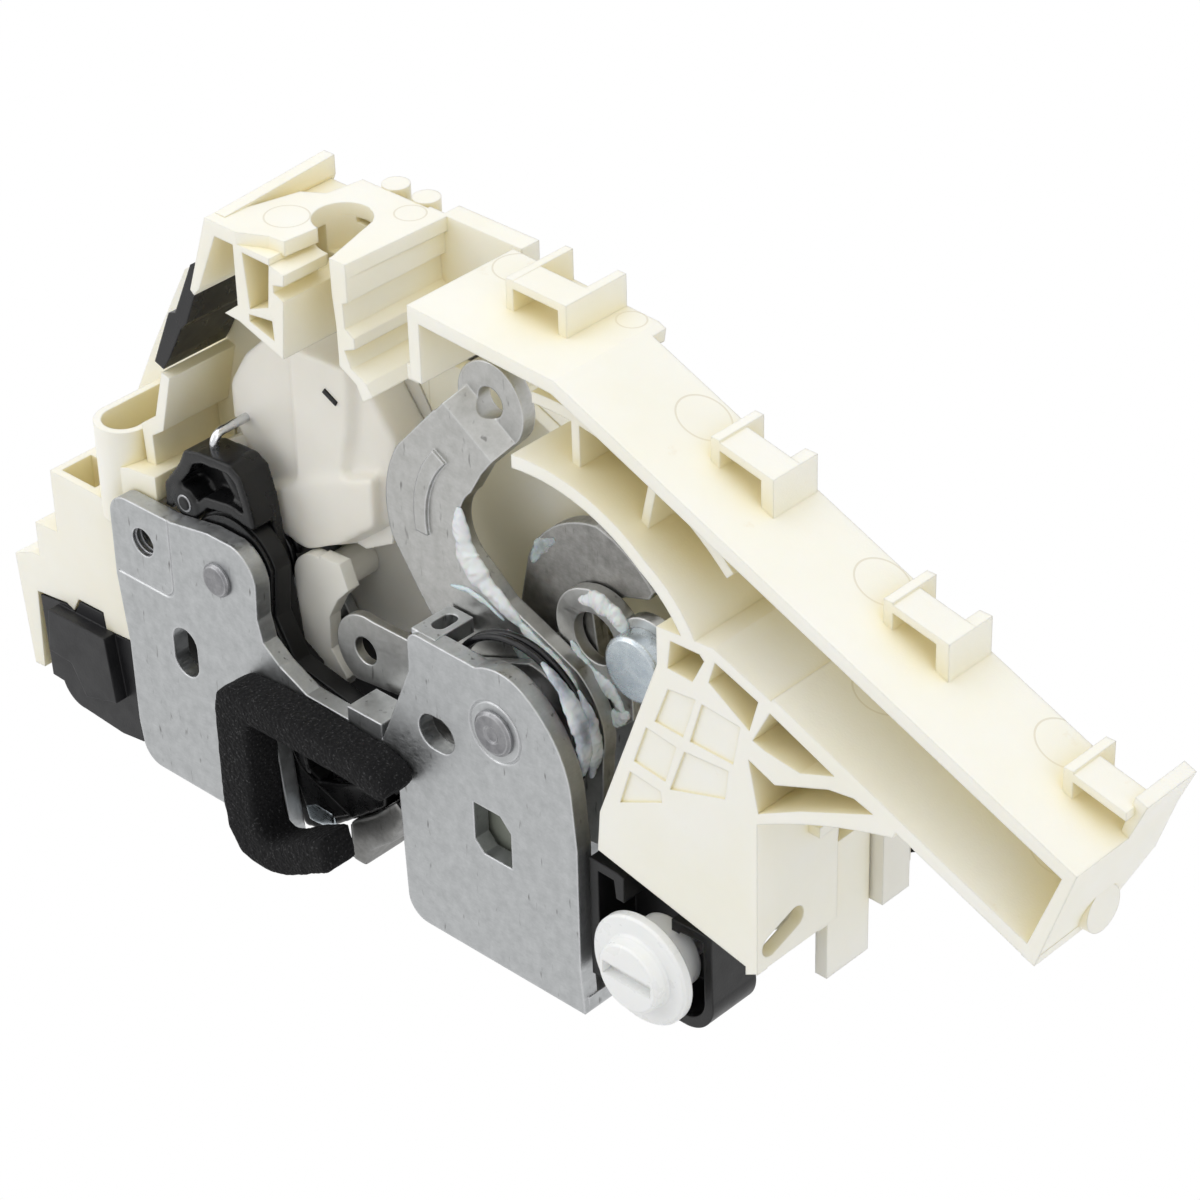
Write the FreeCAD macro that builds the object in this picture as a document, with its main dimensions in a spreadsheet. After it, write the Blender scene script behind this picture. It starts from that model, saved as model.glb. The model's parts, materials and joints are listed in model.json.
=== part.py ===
import FreeCAD, Part
import math
import os

import Sketcher

# A car door latch with its power lock drive, in millimetres.
# The origin is the middle of the M6 fixing thread, on the front face of the striker plate.
# X runs along the plate towards the guide arm, Y runs back into the latch, Z is up.

os.makedirs("parts", exist_ok=True)
doc = FreeCAD.newDocument("DoorLatchActuator")
sheet = doc.addObject("Spreadsheet::Sheet", "Sizes")


class Size:
    """A number that remembers the sheet formula it came from."""

    def __init__(self, value, text):
        self.value = float(value)
        self.text = text

    def __float__(self):
        return self.value

    def __add__(self, other):
        return Size(self.value + float(other), "(%s + %s)" % (self.text, as_text(other)))

    def __radd__(self, other):
        return Size(float(other) + self.value, "(%s + %s)" % (as_text(other), self.text))

    def __sub__(self, other):
        return Size(self.value - float(other), "(%s - %s)" % (self.text, as_text(other)))

    def __rsub__(self, other):
        return Size(float(other) - self.value, "(%s - %s)" % (as_text(other), self.text))

    def __mul__(self, other):
        return Size(self.value * float(other), "(%s * %s)" % (self.text, as_text(other)))

    def __rmul__(self, other):
        return Size(float(other) * self.value, "(%s * %s)" % (as_text(other), self.text))

    def __truediv__(self, other):
        return Size(self.value / float(other), "(%s / %s)" % (self.text, as_text(other)))

    def __neg__(self):
        return Size(-self.value, "(0 - %s)" % self.text)


def as_text(number):
    if isinstance(number, Size):
        return number.text
    return "(%.5f)" % number


def size(name, value):
    """Write one driving size to the sheet and hand back its formula."""
    row = size.row
    size.row += 1
    sheet.set("A%d" % row, name)
    sheet.set("B%d" % row, str(value))
    sheet.setAlias("B%d" % row, name)
    return Size(value, "Sizes." + name)


size.row = 1


def bind(thing, place, value):
    """Set a property, by formula when the value comes from the sheet."""
    if isinstance(value, Size):
        thing.setExpression(place, value.text)
    elif "." in place:
        thing.setExpression(place, "%.5f" % float(value))
    else:
        setattr(thing, place, float(value))


# Driving sizes: the depth layers, from the front face of the plate backwards
plate_thick = size("plate_thick", 3.0)
seal_thick = size("seal_thick", 6.2)
seat_gap = size("seat_gap", 0.3)
skin_front = size("skin_front", 3.4)
claw_front = size("claw_front", 4.1)
claw_thick = size("claw_thick", 3.1)
pawl_front = size("pawl_front", 7.5)
pawl_thick = size("pawl_thick", 1.6)
release_front = size("release_front", 9.4)
lever_thick = size("lever_thick", 2.5)
eyelet_front = size("eyelet_front", 12.2)
eyelet_thick = size("eyelet_thick", 2.0)
hook_front = size("hook_front", 14.6)
back_front = size("back_front", 18.0)
back_thick = size("back_thick", 2.0)
case_front = size("case_front", 20.3)
case_depth = size("case_depth", 17.5)
wall = size("wall", 2.0)

# Driving sizes: pins, bores and the plate
claw_pin_x = size("claw_pin_x", 17.8)
claw_pin_z = size("claw_pin_z", 0.7)
pawl_pin_x = size("pawl_pin_x", 78.2)
pawl_pin_z = size("pawl_pin_z", 0.0)
claw_pin_radius = size("claw_pin_radius", 4.0)
pawl_pin_radius = size("pawl_pin_radius", 5.0)
claw_rivet_radius = size("claw_rivet_radius", 2.9)
pawl_rivet_radius = size("pawl_rivet_radius", 3.75)
run_fit = size("run_fit", 0.06)
thread_radius = size("thread_radius", 2.5)
plate_bottom = size("plate_bottom", -44.5)
plate_right = size("plate_right", 94.9)
plate_left = size("plate_left", -7.5)

# Driving sizes: the guide arm
arm_depth = size("arm_depth", 18.6)
arm_wall = size("arm_wall", 2.2)
arm_top = size("arm_top", 67.0)
arm_end_x = size("arm_end_x", 183.6)
arm_end_z = size("arm_end_z", 27.3)
clip_step = size("clip_step", 30.45)
knob_radius = size("knob_radius", 9.2)
motor_radius = size("motor_radius", 6.9)
wheel_radius = size("wheel_radius", 21.0)
tray_front = case_front + wall + 0.2
tray_floor = case_front + case_depth
cover_start = tray_front + case_depth + seat_gap
cover_depth = 8.0
drive_gap = 0.2
drive_y = tray_floor - drive_gap - motor_radius
wheel_start = drive_y - 3.2
wheel_thick = 6.0
doc.recompute()

PLANES = {"front": "XZ_Plane", "top": "XY_Plane", "side": "YZ_Plane"}
nodes = {}


def new_body(name, x=0, y=0, z=0):
    """A body for one sub-part, standing at its own reference point."""
    body = doc.addObject("PartDesign::Body", name)
    body.Label = name
    bind(body, "Placement.Base.x", x)
    bind(body, "Placement.Base.y", y)
    bind(body, "Placement.Base.z", z)
    nodes[name] = body
    return body


def pin_point(sketch, geometry, position, x, y):
    """Tie one point of a sketch to the origin by its two distances."""
    for kind, value, axis in (("DistanceX", x, -2), ("DistanceY", y, -1)):
        if not isinstance(value, Size) and abs(value) < 1e-9:
            sketch.addConstraint(Sketcher.Constraint("PointOnObject", geometry, position, axis))
            continue
        rule = Sketcher.Constraint(kind, -1, 1, geometry, position, float(value))
        number = sketch.addConstraint(rule)
        if isinstance(value, Size):
            sketch.setExpression("Constraints[%d]" % number, value.text)


def circle(x, y, radius):
    """A full circle for a sketch."""
    def draw(sketch):
        centre = FreeCAD.Vector(float(x), float(y), 0)
        curve = Part.Circle(centre, FreeCAD.Vector(0, 0, 1), float(radius))
        geometry = sketch.addGeometry(curve, False)
        pin_point(sketch, geometry, 3, x, y)
        number = sketch.addConstraint(Sketcher.Constraint("Radius", geometry, float(radius)))
        if isinstance(radius, Size):
            sketch.setExpression("Constraints[%d]" % number, radius.text)
    return draw


def hold_centre(sketch, geometry, start, stop):
    """Fix a half circle by its centre, along the way that the chord doesn't."""
    centre = sketch.Geometry[geometry].Center
    if abs(stop.x - start.x) > abs(stop.y - start.y):
        rule = Sketcher.Constraint("DistanceY", -1, 1, geometry, 3, centre.y)
    else:
        rule = Sketcher.Constraint("DistanceX", -1, 1, geometry, 3, centre.x)
    sketch.addConstraint(rule)


def poly(*points):
    """A closed outline: corner points, with ("arc", x, y) naming a point that an arc passes."""
    corners = []
    arcs = {}
    for point in points:
        if point[0] == "arc":
            arcs[len(corners) - 1] = point[1:]
        else:
            corners.append(point)

    def draw(sketch):
        ends = []
        count = len(corners)
        for index in range(count):
            start = FreeCAD.Vector(float(corners[index][0]), float(corners[index][1]), 0)
            after = corners[(index + 1) % count]
            stop = FreeCAD.Vector(float(after[0]), float(after[1]), 0)
            if index in arcs:
                middle = FreeCAD.Vector(float(arcs[index][0]), float(arcs[index][1]), 0)
                curve = Part.Arc(start, middle, stop)
                geometry = sketch.addGeometry(curve, False)
                radius = sketch.Geometry[geometry].Radius
                if start.distanceToPoint(stop) < 1.9 * radius:
                    sketch.addConstraint(Sketcher.Constraint("Radius", geometry, radius))
                else:
                    hold_centre(sketch, geometry, start, stop)
                swapped = sketch.getPoint(geometry, 1).distanceToPoint(start) > 1e-4
                ends.append((geometry, 2, 1) if swapped else (geometry, 1, 2))
            else:
                geometry = sketch.addGeometry(Part.LineSegment(start, stop), False)
                ends.append((geometry, 1, 2))
        for index in range(count):
            here = ends[index]
            before = ends[index - 1]
            link = Sketcher.Constraint("Coincident", before[0], before[2], here[0], here[1])
            sketch.addConstraint(link)
            pin_point(sketch, here[0], here[1], corners[index][0], corners[index][1])
    return draw


def rect(x0, y0, x1, y1):
    """An upright rectangle from two opposite corners."""
    return poly((x0, y0), (x1, y0), (x1, y1), (x0, y1))


def slot(x0, y0, x1, y1, radius):
    """A slot with round ends whose end centres are given."""
    run = math.hypot(float(x1) - float(x0), float(y1) - float(y0))
    along_x = (float(x1) - float(x0)) / run
    along_y = (float(y1) - float(y0)) / run
    side_x = -along_y * radius
    side_y = along_x * radius
    return poly((x0 + side_x, y0 + side_y), ("arc", x0 - along_x * radius, y0 - along_y * radius),
                (x0 - side_x, y0 - side_y), (x1 - side_x, y1 - side_y),
                ("arc", x1 + along_x * radius, y1 + along_y * radius),
                (x1 + side_x, y1 + side_y))


def new_sketch(body, name, view, at, shapes):
    sketch = body.newObject("Sketcher::SketchObject", name)
    plane = [f for f in body.Origin.OriginFeatures if f.Role == PLANES[view]][0]
    sketch.AttachmentSupport = [(plane, "")]
    sketch.MapMode = "FlatFace"
    bind(sketch, "AttachmentOffset.Base.z", -at if view == "front" else at)
    for draw in shapes:
        draw(sketch)
    return sketch


def pad(body, name, view, at, length, *shapes):
    """Add a plate that starts at a depth and runs along the positive axis."""
    feature = body.newObject("PartDesign::Pad", name)
    feature.Profile = new_sketch(body, name + "Sketch", view, at, shapes)
    bind(feature, "Length", length)
    feature.Reversed = view == "front"
    doc.recompute()
    body.Tip = feature
    return feature


def pocket(body, name, view, at, length, *shapes):
    """Cut from a depth along the positive axis, and make sure that it cut."""
    doc.recompute()
    before = body.Tip.Shape.Volume
    feature = body.newObject("PartDesign::Pocket", name)
    feature.Profile = new_sketch(body, name + "Sketch", view, at, shapes)
    bind(feature, "Length", length)
    feature.Reversed = view != "front"
    doc.recompute()
    body.Tip = feature
    if not feature.Shape.Volume < before - 1e-4:
        raise RuntimeError("pocket cuts nothing: " + body.Name + " " + name)
    return feature


def round_edges(body, name, axis, radius, corners, reach=0.4):
    """Round the straight edges along an axis that pass near the given corners."""
    doc.recompute()
    shape = body.Tip.Shape
    keep = [i for i in range(3) if "xyz"[i] != axis]
    chosen = []
    for number, edge in enumerate(shape.Edges, 1):
        if len(edge.Vertexes) != 2:
            continue
        start = edge.Vertexes[0].Point
        stop = edge.Vertexes[1].Point
        spread = [abs(stop[i] - start[i]) for i in keep]
        if max(spread) > 1e-4:
            continue
        for corner in corners:
            gap = [abs(start[i] - float(c)) for i, c in zip(keep, corner)]
            if max(gap) < reach:
                chosen.append("Edge%d" % number)
                break
    if not chosen:
        raise RuntimeError("no edge to round: " + body.Name + " " + name)
    base = body.Tip
    feature = body.newObject("PartDesign::Fillet", name)
    feature.Base = (base, chosen)
    bind(feature, "Radius", radius)
    doc.recompute()
    if feature.Shape.isNull() or not feature.Shape.isValid():
        raise RuntimeError("rounding fails: " + body.Name + " " + name)
    body.Tip = feature
    return feature


def turned(name, x, z, outline, y=0):
    """A body turned about an axis along Y, from (depth, radius) points."""
    body = new_body(name, x, y, z)
    feature = body.newObject("PartDesign::Revolution", name + "Turn")
    feature.Profile = new_sketch(body, name + "Sketch", "side", 0, [poly(*outline)])
    axis = [f for f in body.Origin.OriginFeatures if f.Role == "Y_Axis"][0]
    feature.ReferenceAxis = (axis, [""])
    feature.Angle = 360
    doc.recompute()
    body.Tip = feature
    return body


def coil(name, x, y, z, radius, wire, pitch, height):
    """A helical spring along Y as a swept round wire."""
    turn = FreeCAD.Rotation(FreeCAD.Vector(1, 0, 0), -90)
    helix = doc.addObject("Part::Helix", name + "Path")
    helix.LocalCoord = 0
    helix.SegmentLength = 0.25
    bind(helix, "Radius", radius)
    bind(helix, "Pitch", pitch)
    bind(helix, "Height", height)
    helix.Placement = FreeCAD.Placement(FreeCAD.Vector(float(x), float(y), float(z)), turn)
    ring = doc.addObject("Part::Circle", name + "Wire")
    bind(ring, "Radius", wire)
    start = FreeCAD.Vector(float(x) + float(radius), float(y), float(z))
    ring.Placement = FreeCAD.Placement(start, FreeCAD.Rotation())
    for thing, shift in ((helix, 0), (ring, radius)):
        bind(thing, "Placement.Base.x", x + shift)
        bind(thing, "Placement.Base.y", y)
        bind(thing, "Placement.Base.z", z)
    sweep = doc.addObject("Part::Sweep", name)
    sweep.Sections = [ring]
    doc.recompute()
    sweep.Spine = (helix, ["Edge%d" % (n + 1) for n in range(len(helix.Shape.Edges))])
    sweep.Solid = True
    sweep.Frenet = True
    sweep.Label = name
    nodes[name] = sweep
    doc.recompute()
    return sweep


# Striker plate: two lobes, the neck over the mouth, and the bent edges
def make_striker_plate():
    body = new_body("striker_plate")
    pad(body, "Face", "front", 0, plate_thick, poly(
        (plate_left, 6.6), (plate_left, -9), (-5.9, -22), (-5.7, -37), (-4.6, plate_bottom),
        (30.5, plate_bottom), (28.3, -25.6), (28.3, -18.5), (56.6, -18.5), (56.6, -22),
        (57.4, plate_bottom), (plate_right, plate_bottom), (94.2, -36.4), (94.3, -14),
        (93.4, -4.5), ("arc", 90.2, 4.0), (84.2, 9.8), ("arc", 79.5, 11.2), (74.5, 9.9),
        (60.4, 10.2), (60.3, 2.9), (55.3, -8.9), (53.5, -13), (36.6, -12.6), (30.8, -9.9),
        (27.3, -7.2), (26.3, -3.3), (26.5, 1.5), ("arc", 25.4, 5.9), (21.5, 8.4),
        (15.9, 8.4), (7.2, 6.8)))
    round_edges(body, "LobeCorners", "y", 4.0, [
        (-4.6, plate_bottom), (57.4, plate_bottom), (plate_left, 6.6)])
    round_edges(body, "WaistCorners", "y", 2.0, [(55.3, -8.9), (60.4, 10.2)])
    pad(body, "TopFlange", "top", 7.5, 2.7, rect(60.4, 1, 65.4, 9))
    pad(body, "NeckTabRoot", "front", 0, plate_thick, rect(46, -14, 53.4, -10.3))
    pad(body, "NeckTab", "top", -12.8, 2.5, rect(46, 1, 53.4, 6.2))
    pad(body, "BottomFlange", "top", plate_bottom, 2.7, rect(86, 1, plate_right, 10.5))
    pocket(body, "ThreadHole", "front", -0.5, 4, circle(0, 0, thread_radius))
    pocket(body, "ClawPinHole", "front", -0.5, 4,
           circle(claw_pin_x, claw_pin_z, claw_rivet_radius - 0.45))
    pocket(body, "PawlPinHole", "front", -0.5, 4,
           circle(pawl_pin_x, pawl_pin_z, pawl_rivet_radius - 0.55))
    pocket(body, "LeftSlot", "front", -0.5, 4, slot(8.1, -19.2, 8.1, -15.9, 2.9))
    pocket(body, "RightSlot", "front", -0.5, 4, slot(64.9, -6.3, 66.3, -6.3, 3.1))
    pocket(body, "SwitchWindow", "front", -0.5, 4,
           poly((72.8, -22.3), (74.6, -24.2), (80.6, -24.2), (80.6, -17.6), (78.4, -15.3),
                (72.8, -15.3)))
    pocket(body, "FlangeHole", "top", 7, 4, slot(63.0, 4.4, 63.0, 6.4, 1.3))
    pocket(body, "ThreadGroove", "front", -0.1, 0.3, poly(
        (6.4, 6.7), (6.4, -5.9), ("arc", 5.8, -7.3), (4.4, -7.95), (-7.0, -7.95),
        (-6.95, -8.3), (4.4, -8.3), ("arc", 6.05, -7.6), (6.75, -5.9), (6.75, 6.6)))
    pocket(body, "PinCoin", "front", -0.1, 0.3,
           circle(pawl_pin_x, pawl_pin_z, pawl_rivet_radius + 1.6),
           circle(pawl_pin_x, pawl_pin_z, pawl_rivet_radius + 1.25))
    return body


# Foam seal round the mouth
def make_mouth_seal():
    body = new_body("mouth_seal")
    pad(body, "Foam", "front", -(seal_thick + seat_gap), seal_thick, poly(
        (22.5, -9), (26.2, -5.7), (63.5, -5.7), (66, -8.5), (66, -14.5), (62.5, -17.9),
        (29.0, -17.9), (29.2, -34.8), ("arc", 30.4, -37.6), (33.2, -38.6), (36.5, -38.6),
        (36.5, -43.8), (29, -43.8), ("arc", 24.2, -41.2), (22.5, -36)))
    return body


# Dark guide behind the mouth: back wall with the striker slot, and the curled lip
def make_mouth_guide():
    body = new_body("mouth_guide")
    deep = back_front - seat_gap - (eyelet_front + 0.2)
    pad(body, "BackWall", "front", eyelet_front + 0.2, deep, poly(
        (24.5, -12.6), (24.5, -41), (28.4, -43.8), (28.4, -28.2), ("arc", 34.7, -21.7),
        (41.0, -28), (41.0, -43.8), (44, -43.8), (45.0, -39.8), ("arc", 50.6, -34.4),
        (54.6, -28.6), (54.6, -12.6)))
    pad(body, "Lip", "front", plate_thick + seat_gap, eyelet_front - plate_thick, poly(
        (41.0, -43.8), (44, -43.8), (45.0, -39.8), ("arc", 50.6, -34.4), (54.2, -29.2),
        (52.1, -27.6), ("arc", 47.1, -33.0), (41.0, -37.4)))
    return body


# Pins: turned steel with a riveted head at each end
def make_pins():
    neck_claw = claw_rivet_radius - 0.5
    turned("claw_pin", claw_pin_x, claw_pin_z, [
        (-0.9, 0), (-0.9, claw_rivet_radius - 0.4), (-0.5, claw_rivet_radius),
        (-0.02, claw_rivet_radius), (-0.02, neck_claw), (plate_thick + 0.02, neck_claw),
        (plate_thick + 0.02, claw_pin_radius), (back_front - 0.02, claw_pin_radius),
        (back_front - 0.02, neck_claw), (back_front + back_thick + 0.02, neck_claw),
        (back_front + back_thick + 0.02, 2.2), (back_front + back_thick + 0.25, 2.2),
        (back_front + back_thick + 0.25, 0)])
    neck_pawl = pawl_rivet_radius - 0.6
    turned("pawl_pin", pawl_pin_x, pawl_pin_z, [
        (-0.7, 0), (-0.7, 1.2), (-0.9, 1.5), (-0.9, pawl_rivet_radius - 0.5),
        (-0.5, pawl_rivet_radius), (-0.02, pawl_rivet_radius), (-0.02, neck_pawl),
        (plate_thick + 0.02, neck_pawl), (plate_thick + 0.02, pawl_pin_radius),
        (back_front - 0.02, pawl_pin_radius), (back_front - 0.02, neck_pawl),
        (back_front + back_thick + 0.02, neck_pawl), (back_front + back_thick + 0.02, 2.6),
        (back_front + back_thick + 0.25, 2.6), (back_front + back_thick + 0.25, 0)])


# Back plate: carries the far ends of both pins
def make_back_plate():
    body = new_body("back_plate")
    pad(body, "Face", "front", back_front, back_thick, poly(
        (6, -40), (27, -40), (27, -29.2), ("arc", 34.7, -20.7), (42.4, -29), (42.4, -40),
        (90, -40), (90, -2), ("arc", 87, 6.4), (78.2, 10), (70, 8), (61, -3), (52, -11),
        (28, -11), (24.8, -6), (24.6, 1), ("arc", 22.9, 6.2), (18, 9), (10, 8), (6, 0)))
    pocket(body, "ClawPinHole", "front", back_front - 1, 4,
           circle(claw_pin_x, claw_pin_z, claw_rivet_radius - 0.45))
    pocket(body, "PawlPinHole", "front", back_front - 1, 4,
           circle(pawl_pin_x, pawl_pin_z, pawl_rivet_radius - 0.55))
    return body


# Claw: the fork that holds the striker; points are measured from its pin
CLAW_OUTLINE = [
    (9.2, 3.6), ("arc", -1.0, 9.8), (-9.6, 2.0), (-7.2, -12), (-0.2, -43.4),
    ("arc", 12.2, -41.7), (23.6, -36.5), (13.95, -32.6), ("arc", 10.8, -24.0),
    (19.4, -20.8), (33.5, -27.7), (36.1, -24.2), (30.0, -20.1), (32.6, -15.3),
    (39.0, -17.2), (40.3, -14.2), (24, -14.4), (12.2, -12.3), (8.4, -5.2)]


def make_claw():
    body = new_body("claw", claw_pin_x, 0, claw_pin_z)
    pad(body, "Fork", "front", claw_front, claw_thick, poly(*CLAW_OUTLINE))
    pocket(body, "Bore", "front", claw_front - 1, 6, circle(0, 0, claw_pin_radius + run_fit))
    skin = new_body("claw_cover", claw_pin_x, 0, claw_pin_z)
    pad(skin, "Skin", "front", skin_front, claw_front - skin_front, poly(
        (8.9, 3.4), ("arc", -1.0, 9.4), (-9.2, 2.0), (-6.8, -12), (3.2, -31), (11.5, -36.5),
        (13.6, -42.0), ("arc", 18.9, -39.0), (23.0, -36.4), (14.6, -33.4),
        ("arc", 10.3, -24.1), (19.3, -20.3), (33.3, -27.2), (35.7, -24.2), (29.5, -20.0),
        (32.4, -14.9), (38.9, -16.8), (39.9, -14.6), (24, -14.8), (12.0, -12.6), (8.0, -5.4)))
    pocket(skin, "SkinBore", "front", skin_front - 1, 3, circle(0, 0, claw_pin_radius + 0.8))
    return body


# Pawl: thin lever on the right pin with a nose block that drops into the claw
def make_pawl():
    body = new_body("pawl", pawl_pin_x, 0, pawl_pin_z)
    pad(body, "Lever", "front", pawl_front, pawl_thick, poly(
        (0, 8.4), (-12, 3.4), (-24.5, 0.9), (-34, 0.8), ("arc", -41.7, -4.4), (-38.0, -11.7),
        (-26.8, -10.4), (-21.6, -14), (-24.4, -24.4), (-19.6, -25.8), (-13.5, -26.0),
        (-10.5, -10), (-1, -8.4), ("arc", 8.4, 0)))
    pad(body, "Nose", "front", claw_front - 0.2, pawl_front - claw_front + 0.4, poly(
        (-21.9, -20.9), (-15.8, -20.8), (-14.0, -25.5), (-19.6, -25.2), (-22.2, -24.7),
        (-23.4, -23.4)))
    pocket(body, "Bore", "front", pawl_front - 1, 4, circle(0, 0, pawl_pin_radius + run_fit))
    pocket(body, "EndHole", "front", pawl_front - 1, 4, circle(-35.5, -5.4, 2.4))
    return body


# Springs on both pins
def make_springs():
    coil("claw_spring", claw_pin_x, 8.4, claw_pin_z, 5.2, 0.6, 1.45, 4.3)
    coil("pawl_spring", pawl_pin_x, 4.05, pawl_pin_z, 13.3, 0.6, 1.32, 2.64)


# Release lever: hub, tail, raised rib, and the joggled eye for the pull rod
def make_release_lever():
    body = new_body("release_lever", pawl_pin_x, 0, pawl_pin_z)
    pad(body, "Lever", "front", release_front, lever_thick, poly(
        (8.0, 9.7), ("arc", 1.4, 12.5), (-6, 15.5), (-11.6, 20), ("arc", -15.0, 25.3),
        (-12.5, 32), (-9.6, 37), (-19.4, 43.4), (-27.4, 34.4), ("arc", -30.6, 26),
        (-29.8, 17.2), (-23.2, 7.6), (-11.5, -5), ("arc", -3.5, -12.0), (4.5, -11.8),
        (8.4, -12.5), (9.6, -20.6), (12.4, -20.3), (12.9, -4), ("arc", 12.4, 4)))
    joggle = body.newObject("PartDesign::AdditiveLoft", "Joggle")
    low = poly((-10.2, 36), (-20, 42.4), (-17.4, 45.4), (-7.8, 39.1))
    high = poly((-7.0, 40.4), (-16.6, 46.8), (-14.0, 49.8), (-4.6, 43.5))
    joggle.Profile = new_sketch(body, "JoggleLow", "front", release_front, [low])
    joggle.Sections = [new_sketch(body, "JoggleHigh", "front", release_front + 5.7, [high])]
    joggle.Ruled = True
    doc.recompute()
    body.Tip = joggle
    pad(body, "Eye", "front", release_front + 3.2, lever_thick, poly(
        (-8.4, 39.6), (-17.3, 45.4), ("arc", -14.8, 51.8), (-8.6, 52.9), ("arc", -4.2, 46.4)))
    pad(body, "Rib", "front", release_front - 0.6, 0.8, poly(
        (-19.6, 36.6), (-17.2, 35.2), ("arc", -21.3, 27.8), (-21.6, 21), (-24.0, 21),
        ("arc", -23.6, 29.2)))
    pocket(body, "Bore", "front", release_front - 1, 4,
           circle(0, 0, pawl_pin_radius + run_fit))
    pocket(body, "EyeHole", "front", release_front + 2, 5, circle(-10.8, 46.6, 2.5))
    return body


# Eyelet lever with its big driven pin, and the hook lever behind it
def make_rear_levers():
    body = new_body("eyelet_lever", pawl_pin_x, 0, pawl_pin_z)
    pad(body, "Lever", "front", eyelet_front, eyelet_thick, poly(
        (-8.5, 1), ("arc", -4, 7.5), (2.2, 12), ("arc", 2.0, 18), (7.0, 22.4),
        ("arc", 11, 22.8), (15.4, 20.6), ("arc", 22, 22), (25.8, 15.5), ("arc", 22, 9.4),
        (16.4, 9.8), (16.6, 3.4), (12.5, -0.4), (8.5, -2), ("arc", 0, -8.5)))
    pocket(body, "Bore", "front", eyelet_front - 1, 4,
           circle(0, 0, pawl_pin_radius + run_fit))
    pocket(body, "Eyelet", "front", eyelet_front - 1, 4, circle(9.2, 14.6, 4.3))
    pocket(body, "PinHole", "front", eyelet_front - 1, 4, circle(19.6, 15.4, 3.0))
    hook = new_body("hook_lever", pawl_pin_x, 0, pawl_pin_z)
    pad(hook, "Hook", "front", hook_front, lever_thick, poly(
        (-8.6, 2), (-8.4, 11.2), (-6.3, 21.1), ("arc", 0.2, 29.4), (7.6, 32.2),
        ("arc", 13.6, 29.9), (18.7, 25.4), (17.9, 24.0), (13.2, 22.4), (6.5, 17.2),
        (8.6, 2), ("arc", 0, -8.8)))
    pocket(hook, "Bore", "front", hook_front - 1, 5,
           circle(0, 0, pawl_pin_radius + run_fit))
    turned("eyelet_pin", pawl_pin_x + 19.6, pawl_pin_z + 15.4, [
        (8.6, 0), (8.6, 4.9), (9.1, 5.4), (eyelet_front - 0.02, 5.4),
        (eyelet_front - 0.02, 2.98), (eyelet_front + eyelet_thick + 0.02, 2.98),
        (eyelet_front + eyelet_thick + 0.02, 4.2), (eyelet_front + 4.6, 4.2),
        (eyelet_front + 4.6, 0)])


# Lock lever, its pin and wire, and the white output lever of the drive
LOCK_X = 7.4
LOCK_Z = 8.9
OUTPUT_X = 29.8
OUTPUT_Z = 0.4


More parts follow.
